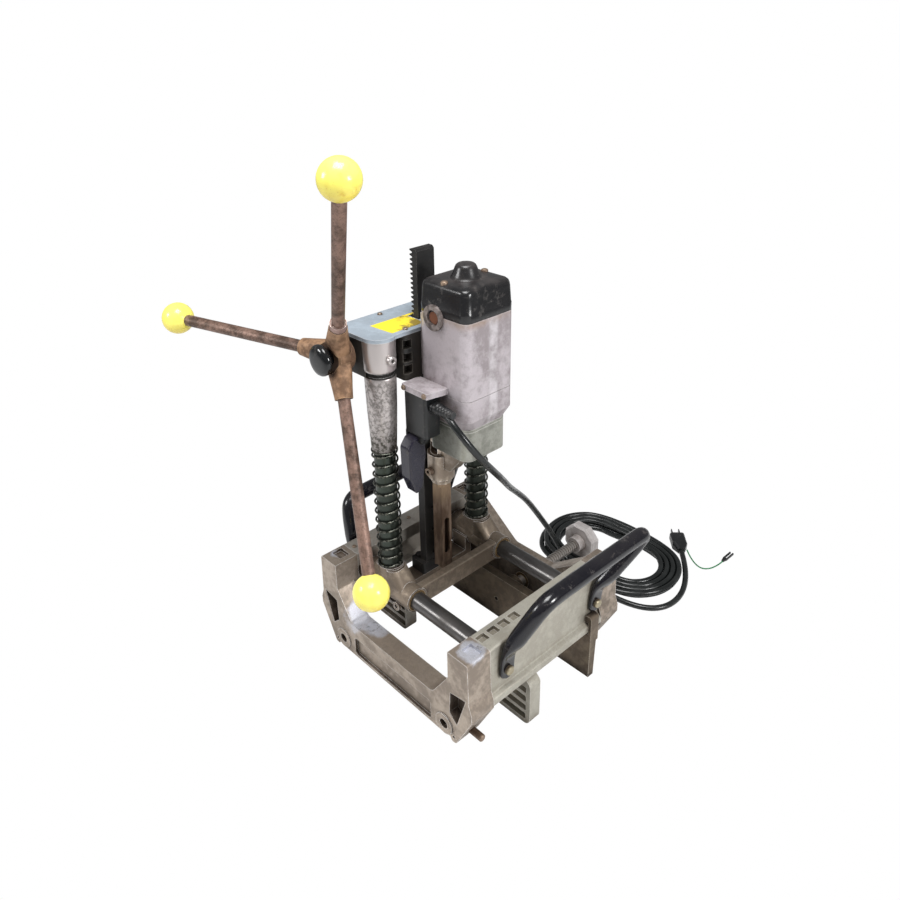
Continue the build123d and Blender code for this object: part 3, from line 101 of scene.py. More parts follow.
class Finish:
    """One procedural material, built node by node round a Principled shader."""

    def __init__(self, name, **fixed):
        self.material = bpy.data.materials.new(name)
        self.material.use_nodes = True
        self.tree = self.material.node_tree
        self.shader = self.tree.nodes["Principled BSDF"]
        for socket, value in fixed.items():
            self.feed(socket, value)
        self.place = self.put("ShaderNodeTexCoord").outputs["Object"]

    def put(self, kind, settings=None, values=None):
        """A node of that kind: its settings first, then a value or a link for each socket."""
        node = self.tree.nodes.new(kind)
        for key, value in (settings or {}).items():
            setattr(node, key, value)
        for key, value in (values or {}).items():
            self.join(node.inputs[key], value)
        return node

    def join(self, socket, value):
        """Links a reading or a socket, or writes a constant; a colour gets its fourth number."""
        if isinstance(value, Reading):
            value = value.socket
        if isinstance(value, bpy.types.NodeSocket):
            self.tree.links.new(value, socket)
        elif socket.type == "RGBA" and len(value) == 3:
            socket.default_value = (*value, 1)
        else:
            socket.default_value = value

    def feed(self, socket, value):
        self.join(self.shader.inputs[socket], value)

    def stretched(self, factors):
        """The piece's own coordinates, multiplied along each axis."""
        values = {0: self.place, 1: factors}
        return self.put("ShaderNodeVectorMath", {"operation": "MULTIPLY"}, values).outputs[0]

    def noise(self, scale, detail=4.0, rough=0.6, place=None):
        """Cloudy pattern, 0 to 1, with about that many blotches to a metre."""
        values = {"Vector": place or self.place, "Scale": scale, "Detail": detail}
        values["Roughness"] = rough
        return Reading(self, self.put("ShaderNodeTexNoise", None, values).outputs[0])

    def cells(self, scale):
        """Distance to the nearest of many scattered points."""
        values = {"Vector": self.place, "Scale": scale}
        return Reading(self, self.put("ShaderNodeTexVoronoi", None, values).outputs["Distance"])

    def along(self, axis):
        """One coordinate of the surface point, in metres."""
        node = self.put("ShaderNodeSeparateXYZ", None, {0: self.place})
        return Reading(self, node.outputs["XYZ".index(axis)])

    def facing(self, axis):
        """How squarely the surface faces along an axis, from -1 to 1."""
        normal = self.put("ShaderNodeNewGeometry").outputs["Normal"]
        node = self.put("ShaderNodeSeparateXYZ", None, {0: normal})
        return Reading(self, node.outputs["XYZ".index(axis)])

    def near(self, spot, reach):
        """1 at a spot, falling to 0 at its reach along a ragged line."""
        values = {0: self.place, 1: spot}
        node = self.put("ShaderNodeVectorMath", {"operation": "DISTANCE"}, values)
        distance = Reading(self, node.outputs["Value"])
        ragged = (self.noise(55, 5) - 0.5) * (0.8 * reach)
        return 1.0 - (distance + ragged).between(reach * 0.7, reach)

    def rubbed_edges(self, reach):
        """Near 1 along the edges of a piece, from its normal against a rounded one."""
        normal = self.put("ShaderNodeNewGeometry").outputs["Normal"]
        rounded = self.put("ShaderNodeBevel", {"samples": 4}, {"Radius": reach}).outputs[0]
        values = {0: normal, 1: rounded}
        node = self.put("ShaderNodeVectorMath", {"operation": "DOT_PRODUCT"}, values)
        return (1.0 - Reading(self, node.outputs["Value"])).between(0.015, 0.18)

    def corners(self, reach):
        """Near 1 deep in corners and pockets, from ambient occlusion: painted shade where little
        light reaches.
        """
        node = self.put("ShaderNodeAmbientOcclusion", {"samples": 6}, {"Distance": reach})
        return 1.0 - Reading(self, node.outputs["AO"])

    def blend(self, share, first, second):
        """Colour from first to second as share goes from 0 to 1."""
        values = {0: share, 6: first, 7: second}
        return self.put("ShaderNodeMix", {"data_type": "RGBA"}, values).outputs[2]

    def relief(self, height, depth, strength=1.0):
        """Bump from a height pattern, depth in metres."""
        values = {"Height": height, "Distance": depth, "Strength": strength}
        self.feed("Normal", self.put("ShaderNodeBump", None, values).outputs[0])


def dress(finish, *nodes):
    """The CAD nodes take this finish."""
    for name in nodes:
        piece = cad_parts[name]
        piece.data.materials.clear()
        piece.data.materials.append(finish.material)


def worn_metal(
    name, bare, dirt_and_shade, bright, rough=0.40, metallic=0.75, grime=0.6, rub=0.0015, grain=900.0,
    depth=0.00025, polished=(), polish=(0.62, 0.64, 0.72),
):
    """Cast or rolled metal: mottled, dirty in patches with painted shade in corners, bright on
    edges and pads.

    Each pad in polished is a spot and how far its shine reaches.
    """
    finish = Finish(name)
    blotches = finish.noise(26, 6, 0.68) * 0.7 + finish.noise(120, 4) * 0.3
    fine = finish.noise(grain, 3, 0.7)
    patches = blotches.between(0.40, 0.58)
    # Painted shade deep in corners and pockets, from ambient occlusion, mixed below with the real
    # dirt patches into one mask and one dark colour; the grime amount scales both.
    corner = finish.corners(0.022).between(0.06, 0.5)
    grime_and_shade = (patches * (0.8 * grime) + corner * (grime * 1.3)).at_most(1.0)
    edge = finish.rubbed_edges(rub) * finish.noise(90, 4).between(0.22, 0.5)
    colour = finish.blend(grime_and_shade, bare, dirt_and_shade)
    colour = finish.blend(fine.between(0.45, 0.75) * 0.4, colour, [value * 0.45 for value in bare])
    colour = finish.blend(edge * 0.9, colour, bright)
    shine = edge * 0.9
    for spot, reach in polished:
        patch = finish.near(spot, reach) * (0.85 - fine.between(0.4, 0.7) * 0.4)
        colour = finish.blend(patch, colour, polish)
        shine = (shine + patch).at_most(1.0)
    finish.feed("Base Color", colour)
    roughness = rough + grime_and_shade * 0.28 - shine * 0.14 + (fine - 0.5) * 0.15
    finish.feed("Roughness", roughness.at_least(0.15))
    finish.feed("Metallic", metallic * (1.0 - grime_and_shade * 0.6))
    finish.relief(fine * 0.6 + finish.noise(160, 3) * 0.4, depth, 0.8)
    return finish


cast_brown = (0.40, 0.335, 0.275)
cast_dirt_and_shade = (0.06, 0.04, 0.027)
cast_bright = (0.86, 0.83, 0.80)
rubbed_pads = [
    ((-0.080, -0.120, 0.080), 0.036),
    ((-0.052, -0.122, 0.078), 0.020),
    ((0.135, -0.126, 0.168), 0.021),
    ((-0.137, -0.128, 0.168), 0.012),
]
dress(
    worn_metal(
        "front_casting", cast_brown, cast_dirt_and_shade, cast_bright, rough=0.36, polished=rubbed_pads
    ),
    "front_end",
)
dress(worn_metal("rear_casting", cast_brown, cast_dirt_and_shade, cast_bright, grime=0.75), "rear_end")
dress(
    worn_metal(
        "right_rail", (0.46, 0.44, 0.38), (0.17, 0.14, 0.10), (0.78, 0.76, 0.72),
        metallic=0.55, grime=0.4,
    ),
    "side_rail_right",
)
dress(
    worn_metal(
        "left_rail", (0.42, 0.39, 0.35), (0.12, 0.09, 0.065), (0.76, 0.74, 0.72),
        metallic=0.6, grime=0.5,
    ),
    "side_rail_left",
)
dress(
    worn_metal(
        "jaw_casting", (0.20, 0.155, 0.11), (0.04, 0.027, 0.018), (0.55, 0.50, 0.42), grime=0.7
    ),
    "moving_jaw",
)
dress(
    worn_metal("carriage_casting", (0.29, 0.235, 0.18), cast_dirt_and_shade, cast_bright, grime=0.65),
    "carriage",
)

# ---------------------------------------------------------------------------
# Small steel fasteners: pins and screws with dull brown-tinged heads.
# ---------------------------------------------------------------------------

fastener = worn_metal(
    "fastener_steel", (0.30, 0.22, 0.16), (0.09, 0.055, 0.035), (0.72, 0.66, 0.56),
    rough=0.38, rub=0.0006,
)
dress(fastener, "foot_pin", "rail_screws", "cover_screws", "bracket_screws", "chisel_screw")
dress(
    worn_metal(
        "dome_bolt", (0.40, 0.35, 0.24), (0.12, 0.085, 0.05), (0.85, 0.8, 0.66),
        rough=0.3, rub=0.001,
    ),
    "handle_bolts",
)

# ---------------------------------------------------------------------------
# Guide rods, clamp screw and gears: ground or turned steel under a film of
# oil, with fine lines round the bar and brown patches where it has dried.
# The bushes, bearings and nut are bronze and the clamp's knob is pale cast.
# ---------------------------------------------------------------------------


def ground_steel(name, bare, dirt_and_shade, rough=0.34, lines=(400, 8, 8), grime=0.5):
    """Bar steel: fine lines across the grain, a thin brown film in patches and painted shade in
    corners.
    """
    finish = Finish(name)
    scratches = finish.noise(3.0, 3, 0.6, place=finish.stretched(lines))
    film = finish.noise(20, 5).between(0.38, 0.66)
    # Painted shade deep in corners, from ambient occlusion, mixed below with the brown film.
    corner = finish.corners(0.014).between(0.15, 0.7)
    grime_and_shade = (film * (0.7 * grime) + corner * grime).at_most(1.0)
    colour = finish.blend(grime_and_shade, bare, dirt_and_shade)
    lines_share = scratches.between(0.5, 0.8) * 0.3
    finish.feed("Base Color", finish.blend(lines_share, colour, [value * 1.7 for value in bare]))
    finish.feed("Roughness", rough + grime_and_shade * 0.25 + (scratches - 0.5) * 0.14)
    finish.feed("Metallic", 0.9 - grime_and_shade * 0.4)
    finish.relief(scratches, 0.00005, 0.6)
    return finish


dress(
    ground_steel(
        "guide_rod_steel", (0.125, 0.12, 0.118), (0.035, 0.03, 0.024), rough=0.3, grime=0.9
    ),
    "guide_rods",
)
dress(
    ground_steel("clamp_screw_steel", (0.36, 0.34, 0.32), (0.12, 0.085, 0.06), lines=(8, 400, 8)),
    "vise_screw",
)
dress(
    ground_steel("gear_steel", (0.36, 0.35, 0.34), (0.12, 0.09, 0.06)),
    "pinion_shaft", "idler_gear", "spindle",
)
dress(
    worn_metal("bronze_plain", (0.30, 0.19, 0.08), (0.09, 0.055, 0.025), (0.65, 0.46, 0.22)),
    "vise_nut", "carriage_bushes", "motor_bearings", "spindle_bearings",
)
dress(
    worn_metal(
        "knob_casting", (0.52, 0.49, 0.48), (0.13, 0.10, 0.085), (0.85, 0.82, 0.8),
        metallic=0.45, grime=0.55,
    ),
    "vise_knob",
)

# ---------------------------------------------------------------------------
# Carrying handles: bent steel tube pressed flat at both ends, where a domed
# bolt holds it to the rail; black gloss paint, scuffed and dusty on top.
# The legs lean back from the bolts and the grip runs level along the rail.
# ---------------------------------------------------------------------------


def nurbs_line(name, points, thick=0.0):
    """A smooth NURBS curve with these control points and a round section."""
    curve = bpy.data.curves.new(name, "CURVE")
    curve.dimensions = "3D"
    spline = curve.splines.new("NURBS")
    spline.points.add(len(points) - 1)
    for control, point in zip(spline.points, points):
        control.co = (*point, 1)
    spline.order_u = 3
    spline.use_endpoint_u = True
    curve.resolution_u = 12
    curve.bevel_depth = thick
    curve.bevel_resolution = 5
    curve.use_fill_caps = True
    piece = bpy.data.objects.new(name, curve)
    bpy.context.scene.collection.objects.link(piece)
    return piece


def final_mesh(piece):
    """A new mesh of the curve as it stands."""
    bpy.context.view_layer.update()
    depsgraph = bpy.context.evaluated_depsgraph_get()
    return bpy.data.meshes.new_from_object(piece.evaluated_get(depsgraph))


def as_points(piece):
    """The points of a curve's own line, in order, read without its section."""
    thick = piece.data.bevel_depth
    piece.data.bevel_depth = 0
    mesh = final_mesh(piece)
    points = np.empty(len(mesh.vertices) * 3)
    mesh.vertices.foreach_get("co", points)
    bpy.data.meshes.remove(mesh)
    piece.data.bevel_depth = thick
    bpy.context.view_layer.update()
    return points.reshape(-1, 3)


def distances(points):
    """Distance along the line from its first point to each of the others."""
    steps = np.linalg.norm(np.diff(points, axis=0), axis=1)
    return np.concatenate([[0.0], np.cumsum(steps)])


def grid_mesh(name, grid, finish, ends="capped"):
    """A mesh from rows of points: each row is closed round, its end rows are capped or joined."""
    rows, columns = grid.shape[:2]
    index = np.arange(rows * columns).reshape(rows, columns)
    index = np.hstack([index, index[:, :1]])
    if ends == "joined":
        index = np.vstack([index, index[:1]])
    quads = np.stack([index[:-1, :-1], index[:-1, 1:], index[1:, 1:], index[1:, :-1]], -1)
    faces = quads.reshape(-1, 4).tolist()
    if ends == "capped":
        faces.append(list(range(columns))[::-1])
        faces.append(list(range((rows - 1) * columns, rows * columns)))
    mesh = bpy.data.meshes.new(name)
    mesh.from_pydata(grid.reshape(-1, 3).tolist(), [], faces)
    mesh.polygons.foreach_set("use_smooth", [True] * len(mesh.polygons))
    mesh.set_sharp_from_angle(angle=0.6)
    mesh.materials.append(finish.material)
    piece = bpy.data.objects.new(name, mesh)
    bpy.context.scene.collection.objects.link(piece)
    return piece


def black_paint(name, colour, rough=0.2, dust=0.3, peel=0.3, dusty=(0.10, 0.09, 0.09)):
    """Glossy black paint or moulding with dust on top, small scuffs and a slight orange peel."""
    finish = Finish(name, IOR=1.5)
    scuffs = finish.noise(60, 6, 0.7).between(0.56, 0.72)
    scratches = finish.noise(6, 4, 0.7, place=finish.stretched((40, 12, 40))).between(0.6, 0.7)
    edge = finish.rubbed_edges(0.0008) * finish.noise(70).between(0.42, 0.6)
    film = finish.facing("Z").between(0.1, 1.0) * finish.noise(18, 5).between(0.35, 0.65)
    tone = finish.blend(film * dust, colour, dusty)
    worn = (scuffs * 0.3 + scratches * 0.25 + edge * 0.45).at_most(1.0)
    finish.feed("Base Color", finish.blend(worn, tone, (0.14, 0.125, 0.115)))
    finish.feed("Roughness", (rough + scuffs * 0.25 + film * (dust * 0.8)).at_most(0.8))
    finish.relief(finish.noise(700, 2) * peel + scuffs * 0.3, 0.0001, 0.5)
    return finish


handle_finish = black_paint(
    "handle_paint", (0.003, 0.003, 0.006), rough=0.16, dust=0.12, dusty=(0.08, 0.07, 0.07)
)
tube_radius = 0.011
lug_half_width = 0.012
lug_half_thick = 0.0031
lug_square = 5
lug_length = 0.028
lug_to_tube = 0.042
lug_tip = 0.009
lug_x = 0.1518
right_route = [
    (lug_x, -0.082, 0.107), (lug_x, -0.082, 0.137), (0.158, -0.080, 0.157), (0.170, -0.066, 0.188),
    (0.182, -0.050, 0.219), (0.182, -0.015, 0.221), (0.182, 0.120, 0.220), (0.182, 0.157, 0.219),
    (0.176, 0.144, 0.200), (0.160, 0.104, 0.158), (lug_x, 0.095, 0.137), (lug_x, 0.095, 0.107),
]
left_route = [
    (lug_x, -0.082, 0.107), (lug_x, -0.082, 0.137), (0.157, -0.083, 0.156), (0.167, -0.080, 0.184),
    (0.176, -0.072, 0.210), (0.178, -0.035, 0.211), (0.180, 0.120, 0.211), (0.180, 0.157, 0.210),
    (0.174, 0.144, 0.194), (0.160, 0.104, 0.156), (lug_x, 0.095, 0.137), (lug_x, 0.095, 0.107),
]


def carrying_handle(name, route, side, stations=150, sides=32):
    """Tube along the route, each section a superellipse from a flat lug to a circle and back.

    With t the turn, a point lies at wide * |cos t|^p across the bar and at thin * |sin t|^p
    away from the rail; p is 2/5 in the lugs, nearly a rectangle, and 1 in the round tube.
    """
    guide = nurbs_line(name + "_guide", route)
    points = as_points(guide)
    bpy.data.objects.remove(guide)
    run = distances(points)
    even = np.linspace(0, run[-1], stations)
    points = np.stack([np.interp(even, run, points[:, axis]) for axis in range(3)], 1)
    ahead = np.gradient(points, axis=0)
    ahead /= np.linalg.norm(ahead, axis=1)[:, None]
    outward = np.array([1.0, 0, 0]) - ahead[:, :1] * ahead
    outward /= np.linalg.norm(outward, axis=1)[:, None]
    across = np.cross(outward, ahead)
    from_end = np.minimum(even, even[-1] - even)
    share = np.clip((from_end - lug_length) / lug_to_tube, 0, 1)
    share = share**2 * (3 - 2 * share)
    tip = np.sqrt(np.clip(1 - (1 - from_end / lug_tip).clip(0) ** 2, 0.12, 1))
    wide = (lug_half_width + (tube_radius - lug_half_width) * share) * tip
    thin = lug_half_thick + (tube_radius - lug_half_thick) * share
    power = (2 / (lug_square + (2 - lug_square) * share))[:, None]
    turn = np.linspace(0, 2 * np.pi, sides, endpoint=False)
    swing = wide[:, None] * np.sign(np.cos(turn)) * np.abs(np.cos(turn)) ** power
    lift = thin[:, None] * np.sign(np.sin(turn)) * np.abs(np.sin(turn)) ** power
    grid = points[:, None] + across[:, None] * swing[..., None] + outward[:, None] * lift[..., None]
    if side < 0:
        grid = grid[:, ::-1] * np.array([-1, 1, 1])
    piece = grid_mesh(name, grid, handle_finish)
    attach(piece, "base")
    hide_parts("handle_right" if side > 0 else "handle_left")


carrying_handle("carrying_handle_right", right_route, 1)
carrying_handle("carrying_handle_left", left_route, -1)

# ---------------------------------------------------------------------------
# Columns and return springs: dark oiled posts, each inside a coil spring of
# dark round wire with small spots worn lighter.
# ---------------------------------------------------------------------------

dress(
    ground_steel(
        "column_steel", (0.05, 0.06, 0.05), (0.018, 0.018, 0.016), rough=0.33, lines=(8, 8, 500)
    ),
    "columns",
)

column_x = -0.067
column_y = 0.085
collar_top = 0.164
sleeve_foot = 0.346
wire_radius = 0.0014
coil_radius = 0.0167
coil_turns = 14
flat_turns = 0.8


def spring_steel():
    """Dark wire with light worn spots."""
    finish = Finish("spring_wire_steel", Metallic=0.85)
    worn = finish.noise(240, 4).between(0.42, 0.62)
    finish.feed("Base Color", finish.blend(worn, (0.025, 0.028, 0.022), (0.17, 0.17, 0.145)))
    finish.feed("Roughness", 0.25 + worn * 0.2)
    return finish


def coil_spring(name, y, finish, sides=10, steps=36):
    """Round wire along a helix whose height rises only between its flat first and last turns."""
    turn = np.linspace(0, coil_turns, coil_turns * steps + 1)
    free = np.clip((turn - flat_turns) / (coil_turns - 2 * flat_turns), 0, 1)
    low = collar_top + wire_radius
    high = sleeve_foot - wire_radius
    angle = 2 * np.pi * turn
    rise = low + (high - low) * free
    reach = coil_radius * np.stack([np.cos(angle), np.sin(angle)], 1)
    centre = np.column_stack([reach + (column_x, y), rise])
    ahead = np.gradient(centre, axis=0)
    ahead /= np.linalg.norm(ahead, axis=1)[:, None]
    outward = np.stack([np.cos(angle), np.sin(angle), 0 * angle], 1)
    across = np.cross(ahead, outward)
    around = np.linspace(0, 2 * np.pi, sides, endpoint=False)[None, :, None]
    ring = np.cos(around) * outward[:, None] + np.sin(around) * across[:, None]
    return grid_mesh(name, centre[:, None] + wire_radius * ring, finish)


spring_finish = spring_steel()
for place, y in (("front", -column_y), ("rear", column_y)):
    spring = coil_spring("return_spring_" + place, y, spring_finish)
    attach(spring, "carriage")
    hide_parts("return_springs")
    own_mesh(spring)

# ---------------------------------------------------------------------------
# Rack and its bolts: blackened steel bar with milled teeth, dull with dust.
# ---------------------------------------------------------------------------

dress(
    worn_metal(
        "blackened_steel", (0.012, 0.012, 0.013), (0.03, 0.026, 0.022), (0.16, 0.15, 0.14),
        rough=0.42, metallic=0.4, rub=0.0006, grime=0.4,
    ),
    "rack", "rack_bolts",
)

# ---------------------------------------------------------------------------
# Head: black painted casting, closed by a blue-grey plate that carries one
# plain yellow strip, worn and dirty along its near edge.
# ---------------------------------------------------------------------------

dress(
    worn_metal(
        "head_paint", (0.010, 0.011, 0.011), (0.035, 0.028, 0.022), (0.13, 0.12, 0.105),
        rough=0.4, metallic=0.05, grime=0.4,
    ),
    "head_casting",
)
dress(
    worn_metal(
        "cover_paint", (0.42, 0.49, 0.56), (0.14, 0.15, 0.16), (0.7, 0.73, 0.77),
        rough=0.34, metallic=0.3, grime=0.4,
    ),
    "top_cover",
)


def strip_film():
    """Yellow film with brown grime that eats in from the near edge and the motor's side."""
    finish = Finish("yellow_strip_film", Roughness=0.35)
    motor_side = finish.along("X").between(-0.078, -0.053)
    near_side = finish.along("Y").between(-0.06, -0.02)
    worn_side = motor_side * 0.5 + near_side * 0.5
    grime = (finish.noise(95, 6, 0.75) * 0.75 + worn_side * 0.42).between(0.52, 0.66)
    tone = finish.blend(finish.noise(60, 4), (0.90, 0.72, 0.03), (0.78, 0.58, 0.03))
    finish.feed("Base Color", finish.blend(grime * 0.85, tone, (0.13, 0.085, 0.03)))
    return finish


strip_foot = 0.50705
strip_top = 0.50725


def yellow_strip():
    """A thin film on the plate: a rectangle beside the rack's slot, with a narrow end past it."""
    outline = [
        (-0.0945, -0.0755), (-0.0550, -0.0725), (-0.0550, -0.0190), (-0.0890, -0.0190),
        (-0.0890, 0.0300), (-0.0935, 0.0300),
    ]
    count = len(outline)
    corners = [(x, y, z) for z in (strip_foot, strip_top) for x, y in outline]
    faces = [tuple(range(count))[::-1], tuple(range(count, 2 * count))]
    for step in range(count):
        after = (step + 1) % count
        faces.append((step, after, after + count, step + count))
    mesh = bpy.data.meshes.new("yellow_strip")
    mesh.from_pydata(corners, [], faces)
    mesh.materials.append(strip_film().material)
    piece = bpy.data.objects.new("yellow_strip", mesh)
    bpy.context.scene.collection.objects.link(piece)
    return piece


strip = yellow_strip()
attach(strip, "head")

# ---------------------------------------------------------------------------
# Sleeves: turned aluminium tubes pressed into the head, each with a tapered
# skirt over the column, a groove with painted shade, a plain boss up to the plate.
# ---------------------------------------------------------------------------


def turned(name, profile, centre, axis, finish, sides=72, ends="capped"):
    """Surface of revolution: each (distance along the axis, radius) pair becomes a ring."""
    profile = np.array(profile, float)
    axis = np.array(axis, float)
    side = np.cross(axis, (0, 0, 1) if abs(axis[2]) < 0.9 else (1, 0, 0))
    third = np.cross(axis, side)
    turn = np.linspace(0, 2 * np.pi, sides, endpoint=False)[None, :, None]
    ring = np.cos(turn) * side + np.sin(turn) * third
    grid = np.array(centre) + profile[:, :1, None] * axis + profile[:, 1:, None] * ring
    return grid_mesh(name, grid, finish, ends)


def sleeve_aluminium():
    """Turned aluminium: brown stain on the skirt, darker round its foot, and painted shade in
    corners and in the groove.
    """
    finish = Finish("sleeve_aluminium")
    height = finish.along("Z")
    stain = finish.noise(170, 5, 0.75).between(0.42, 0.58) * (1.0 - height.between(0.445, 0.456))
    low = 1.0 - height.between(0.350, 0.392)
    # Painted shade: the band of the groove is painted near black.
    groove_shade = height.between(0.4515, 0.4530) * (1.0 - height.between(0.4595, 0.4610))
    # Painted shade deep in corners, from ambient occlusion.
    corner = finish.corners(0.010).between(0.1, 0.7)
    grime_and_shade = (stain * 0.6 + low * 0.5 + corner * 0.5 + groove_shade).at_most(1.0)
    tone = finish.blend(grime_and_shade, (0.50, 0.46, 0.45), (0.06, 0.055, 0.045))
    tone = finish.blend(groove_shade, tone, (0.012, 0.011, 0.010))
    tone = finish.blend(finish.rubbed_edges(0.0015) * 0.8, tone, (0.85, 0.84, 0.82))
    finish.feed("Base Color", tone)
    finish.feed("Roughness", 0.3 + grime_and_shade * 0.3)
    finish.feed("Metallic", 0.75 - grime_and_shade * 0.3)
    finish.relief(finish.noise(600, 3), 0.0002, 0.6)
    return finish


sleeve_finish = sleeve_aluminium()
sleeve_profile = [
    (0.3461, 0.0147), (0.3461, 0.0161), (0.3470, 0.0167), (0.3560, 0.0172), (0.3800, 0.0184),
    (0.4050, 0.0195), (0.4350, 0.0203), (0.4495, 0.0205), (0.4520, 0.0201), (0.4532, 0.0190),
    (0.4540, 0.0182), (0.4588, 0.0182), (0.4594, 0.0196), (0.4608, 0.0207), (0.4635, 0.0211),
    (0.4800, 0.0213), (0.4950, 0.0216), (0.5018, 0.0218), (0.5018, 0.0147),
]
nipple_boss = [
    (-0.004, 0.0060), (0.0050, 0.0060), (0.0060, 0.0054), (0.0061, 0.0030), (0.0045, 0.0022),
    (0.0010, 0.0020),
]
nipple_x = -0.046
nipple_height = 0.4775
for place, y in (("front", -column_y), ("rear", column_y)):
    sleeve = turned(
        "sleeve_" + place, sleeve_profile, (column_x, y, 0), (0, 0, 1), sleeve_finish,
        ends="joined",
    )
    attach(sleeve, "head")
    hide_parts("sleeves")
    nipple_place = (nipple_x, y, nipple_height)
    nipple = turned(
        "grease_nipple_" + place, nipple_boss, nipple_place, (1, 0, 0), sleeve_finish, sides=28
    )
    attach(nipple, "head")
    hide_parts("grease_nipples")

# ---------------------------------------------------------------------------
# Feed lever: rough ochre-brown cast hub, three rusty steel levers with
# yellow balls, and a black mushroom knob screwed on the shaft's end.
# ---------------------------------------------------------------------------

dress(
    worn_metal(
        "hub_ochre", (0.37, 0.215, 0.12), (0.055, 0.024, 0.011), (0.5, 0.33, 0.19),
        rough=0.5, metallic=0.2, grain=420, depth=0.0006, grime=0.9,
    ),
    "lever_hub",
)


def rusty_steel():
    """Bar steel under a coat of rust: clouds of two browns, dark pits and small bare spots."""
    finish = Finish("lever_rust", Metallic=0.35)
    clouds = finish.noise(14, 6, 0.7) * 0.5 + finish.noise(70, 5, 0.7) * 0.5
    pits = finish.noise(420, 4, 0.7)
    tone = finish.blend(clouds.between(0.40, 0.58), (0.065, 0.038, 0.026), (0.25, 0.155, 0.12))
    tone = finish.blend(pits.between(0.5, 0.72) * 0.75, tone, (0.035, 0.018, 0.012))
    bare_spots = 0.55 - finish.cells(170).between(0.0, 0.12) * 0.55
    tone = finish.blend(bare_spots, tone, (0.42, 0.32, 0.27))
    finish.feed("Base Color", tone)
    finish.feed("Roughness", 0.36 + pits * 0.3)
    finish.relief(pits, 0.0003, 0.6)
    return finish


dress(rusty_steel(), "levers")
dress(
    worn_metal(
        "collar_steel", (0.40, 0.27, 0.24), (0.12, 0.07, 0.05), (0.7, 0.6, 0.55),
        rough=0.36, metallic=0.6,
    ),
    "lever_collar",
)


def yellow_plastic():
    """Glossy yellow moulding with fine marks, and painted shade in darker orange on its underside.
    """
    finish = Finish("ball_yellow", IOR=1.5)
    marks = finish.noise(110, 6, 0.78).between(0.5, 0.7)
    # Painted shade: the downward-facing half turns darker orange, more so where the marks are.
    under = 1.0 - finish.facing("Z").between(-0.75, 0.1)
    tone = finish.blend(marks * 0.5, (0.96, 0.87, 0.17), (0.80, 0.62, 0.06))
    tone = finish.blend((under * (0.35 + marks * 0.5)).at_most(1.0), tone, (0.62, 0.36, 0.02))
    specks = 1.0 - finish.cells(300).between(0.05, 0.2)
    finish.feed("Base Color", finish.blend(specks * 0.35, tone, (0.30, 0.20, 0.03)))
    finish.feed("Roughness", 0.2 + marks * 0.22)
    finish.relief(marks, 0.0001, 0.4)
    return finish


dress(yellow_plastic(), "lever_balls")

gloss_black = black_paint("gloss_black", (0.004, 0.005, 0.006), rough=0.12, dust=0.08, peel=0.1)
hub_centre = (-0.102, -0.123, 0.480)
knob_profile = [
    (0.0130, 0.0098), (0.0205, 0.0098), (0.0212, 0.0170), (0.0222, 0.0192), (0.0240, 0.0203),
    (0.0262, 0.0205), (0.0285, 0.0200), (0.0305, 0.0185), (0.0320, 0.0155), (0.0328, 0.0110),
    (0.0331, 0.0055), (0.0332, 0.0003),
]
knob = turned("hub_mushroom_knob", knob_profile, hub_centre, (0, -1, 0), gloss_black)
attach(knob, "feed")
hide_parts("hub_knob")

# ---------------------------------------------------------------------------
# Motor: painted aluminium housing in a dusty pinkish grey, with its switch
# bracket, and inside it the laminated stack and the armature.
# ---------------------------------------------------------------------------


def motor_paint():
    """Dusty paint on a casting: clouds of grime, painted shade in corners, a painted highlight
    stripe on the +X face, a brown line under the cap, light edges.
    """
    finish = Finish("motor_paint", Metallic=0.3)
    clouds = finish.noise(17, 6, 0.72)
    fine = finish.noise(700, 3)
    height = finish.along("Z")
    depth = finish.along("Y")
    low = 1.0 - height.between(0.385, 0.45)
    rim = height.between(0.522, 0.533)
    # Painted shade deep in corners, from ambient occlusion, mixed below with the grime clouds.
    corner = finish.corners(0.02).between(0.08, 0.6)
    grime_and_shade = (clouds.between(0.4, 0.6) * 0.6 + low * 0.2 + corner * 0.6).at_most(1.0)
    tone = finish.blend(grime_and_shade, (0.50, 0.455, 0.48), (0.17, 0.14, 0.14))
    # Painted highlight: a light upright stripe down the face turned to +X.
    painted_highlight = depth.between(-0.006, 0.0) * (1.0 - depth.between(0.008, 0.014))
    painted_highlight = painted_highlight * finish.facing("X").between(0.7, 0.9) * finish.noise(60, 5).between(0.3, 0.6)
    tone = finish.blend(painted_highlight * 0.5, tone, (0.78, 0.75, 0.78))
    tone = finish.blend(rim * finish.noise(40).between(0.35, 0.6) * 0.7, tone, (0.34, 0.24, 0.18))
    tone = finish.blend(fine.between(0.5, 0.8) * 0.35, tone, (0.2, 0.17, 0.17))
    tone = finish.blend(finish.rubbed_edges(0.0025) * 0.5, tone, (0.78, 0.74, 0.76))
    finish.feed("Base Color", tone)
    finish.feed("Roughness", 0.34 + grime_and_shade * 0.35)
    finish.relief(fine * 0.4 + clouds * 0.6, 0.0004, 0.5)
    return finish


dress(motor_paint(), "motor_housing", "switch_bracket")
dress(
    worn_metal(
        "winding_copper", (0.42, 0.18, 0.07), (0.15, 0.07, 0.03), (0.7, 0.4, 0.2), grime=0.4
    ),
    "armature",
)
dress(worn_metal("stator_steel", (0.2, 0.2, 0.21), (0.08, 0.07, 0.06), (0.4, 0.4, 0.4)), "stator")

# ---------------------------------------------------------------------------
# Motor cap: black moulding with slightly tapered walls, a rounded shoulder,
# a nearly flat top and a cone for the bearing, held by two domed screws. The
# fan inside is the same black, and the brush caps have a brown centre.
# ---------------------------------------------------------------------------

cap_finish = black_paint(
    "cap_moulding", (0.008, 0.008, 0.009), rough=0.24, dust=0.4, peel=0.5, dusty=(0.09, 0.075, 0.07)
)
dress(cap_finish, "cooling_fan")
motor_x = 0.002


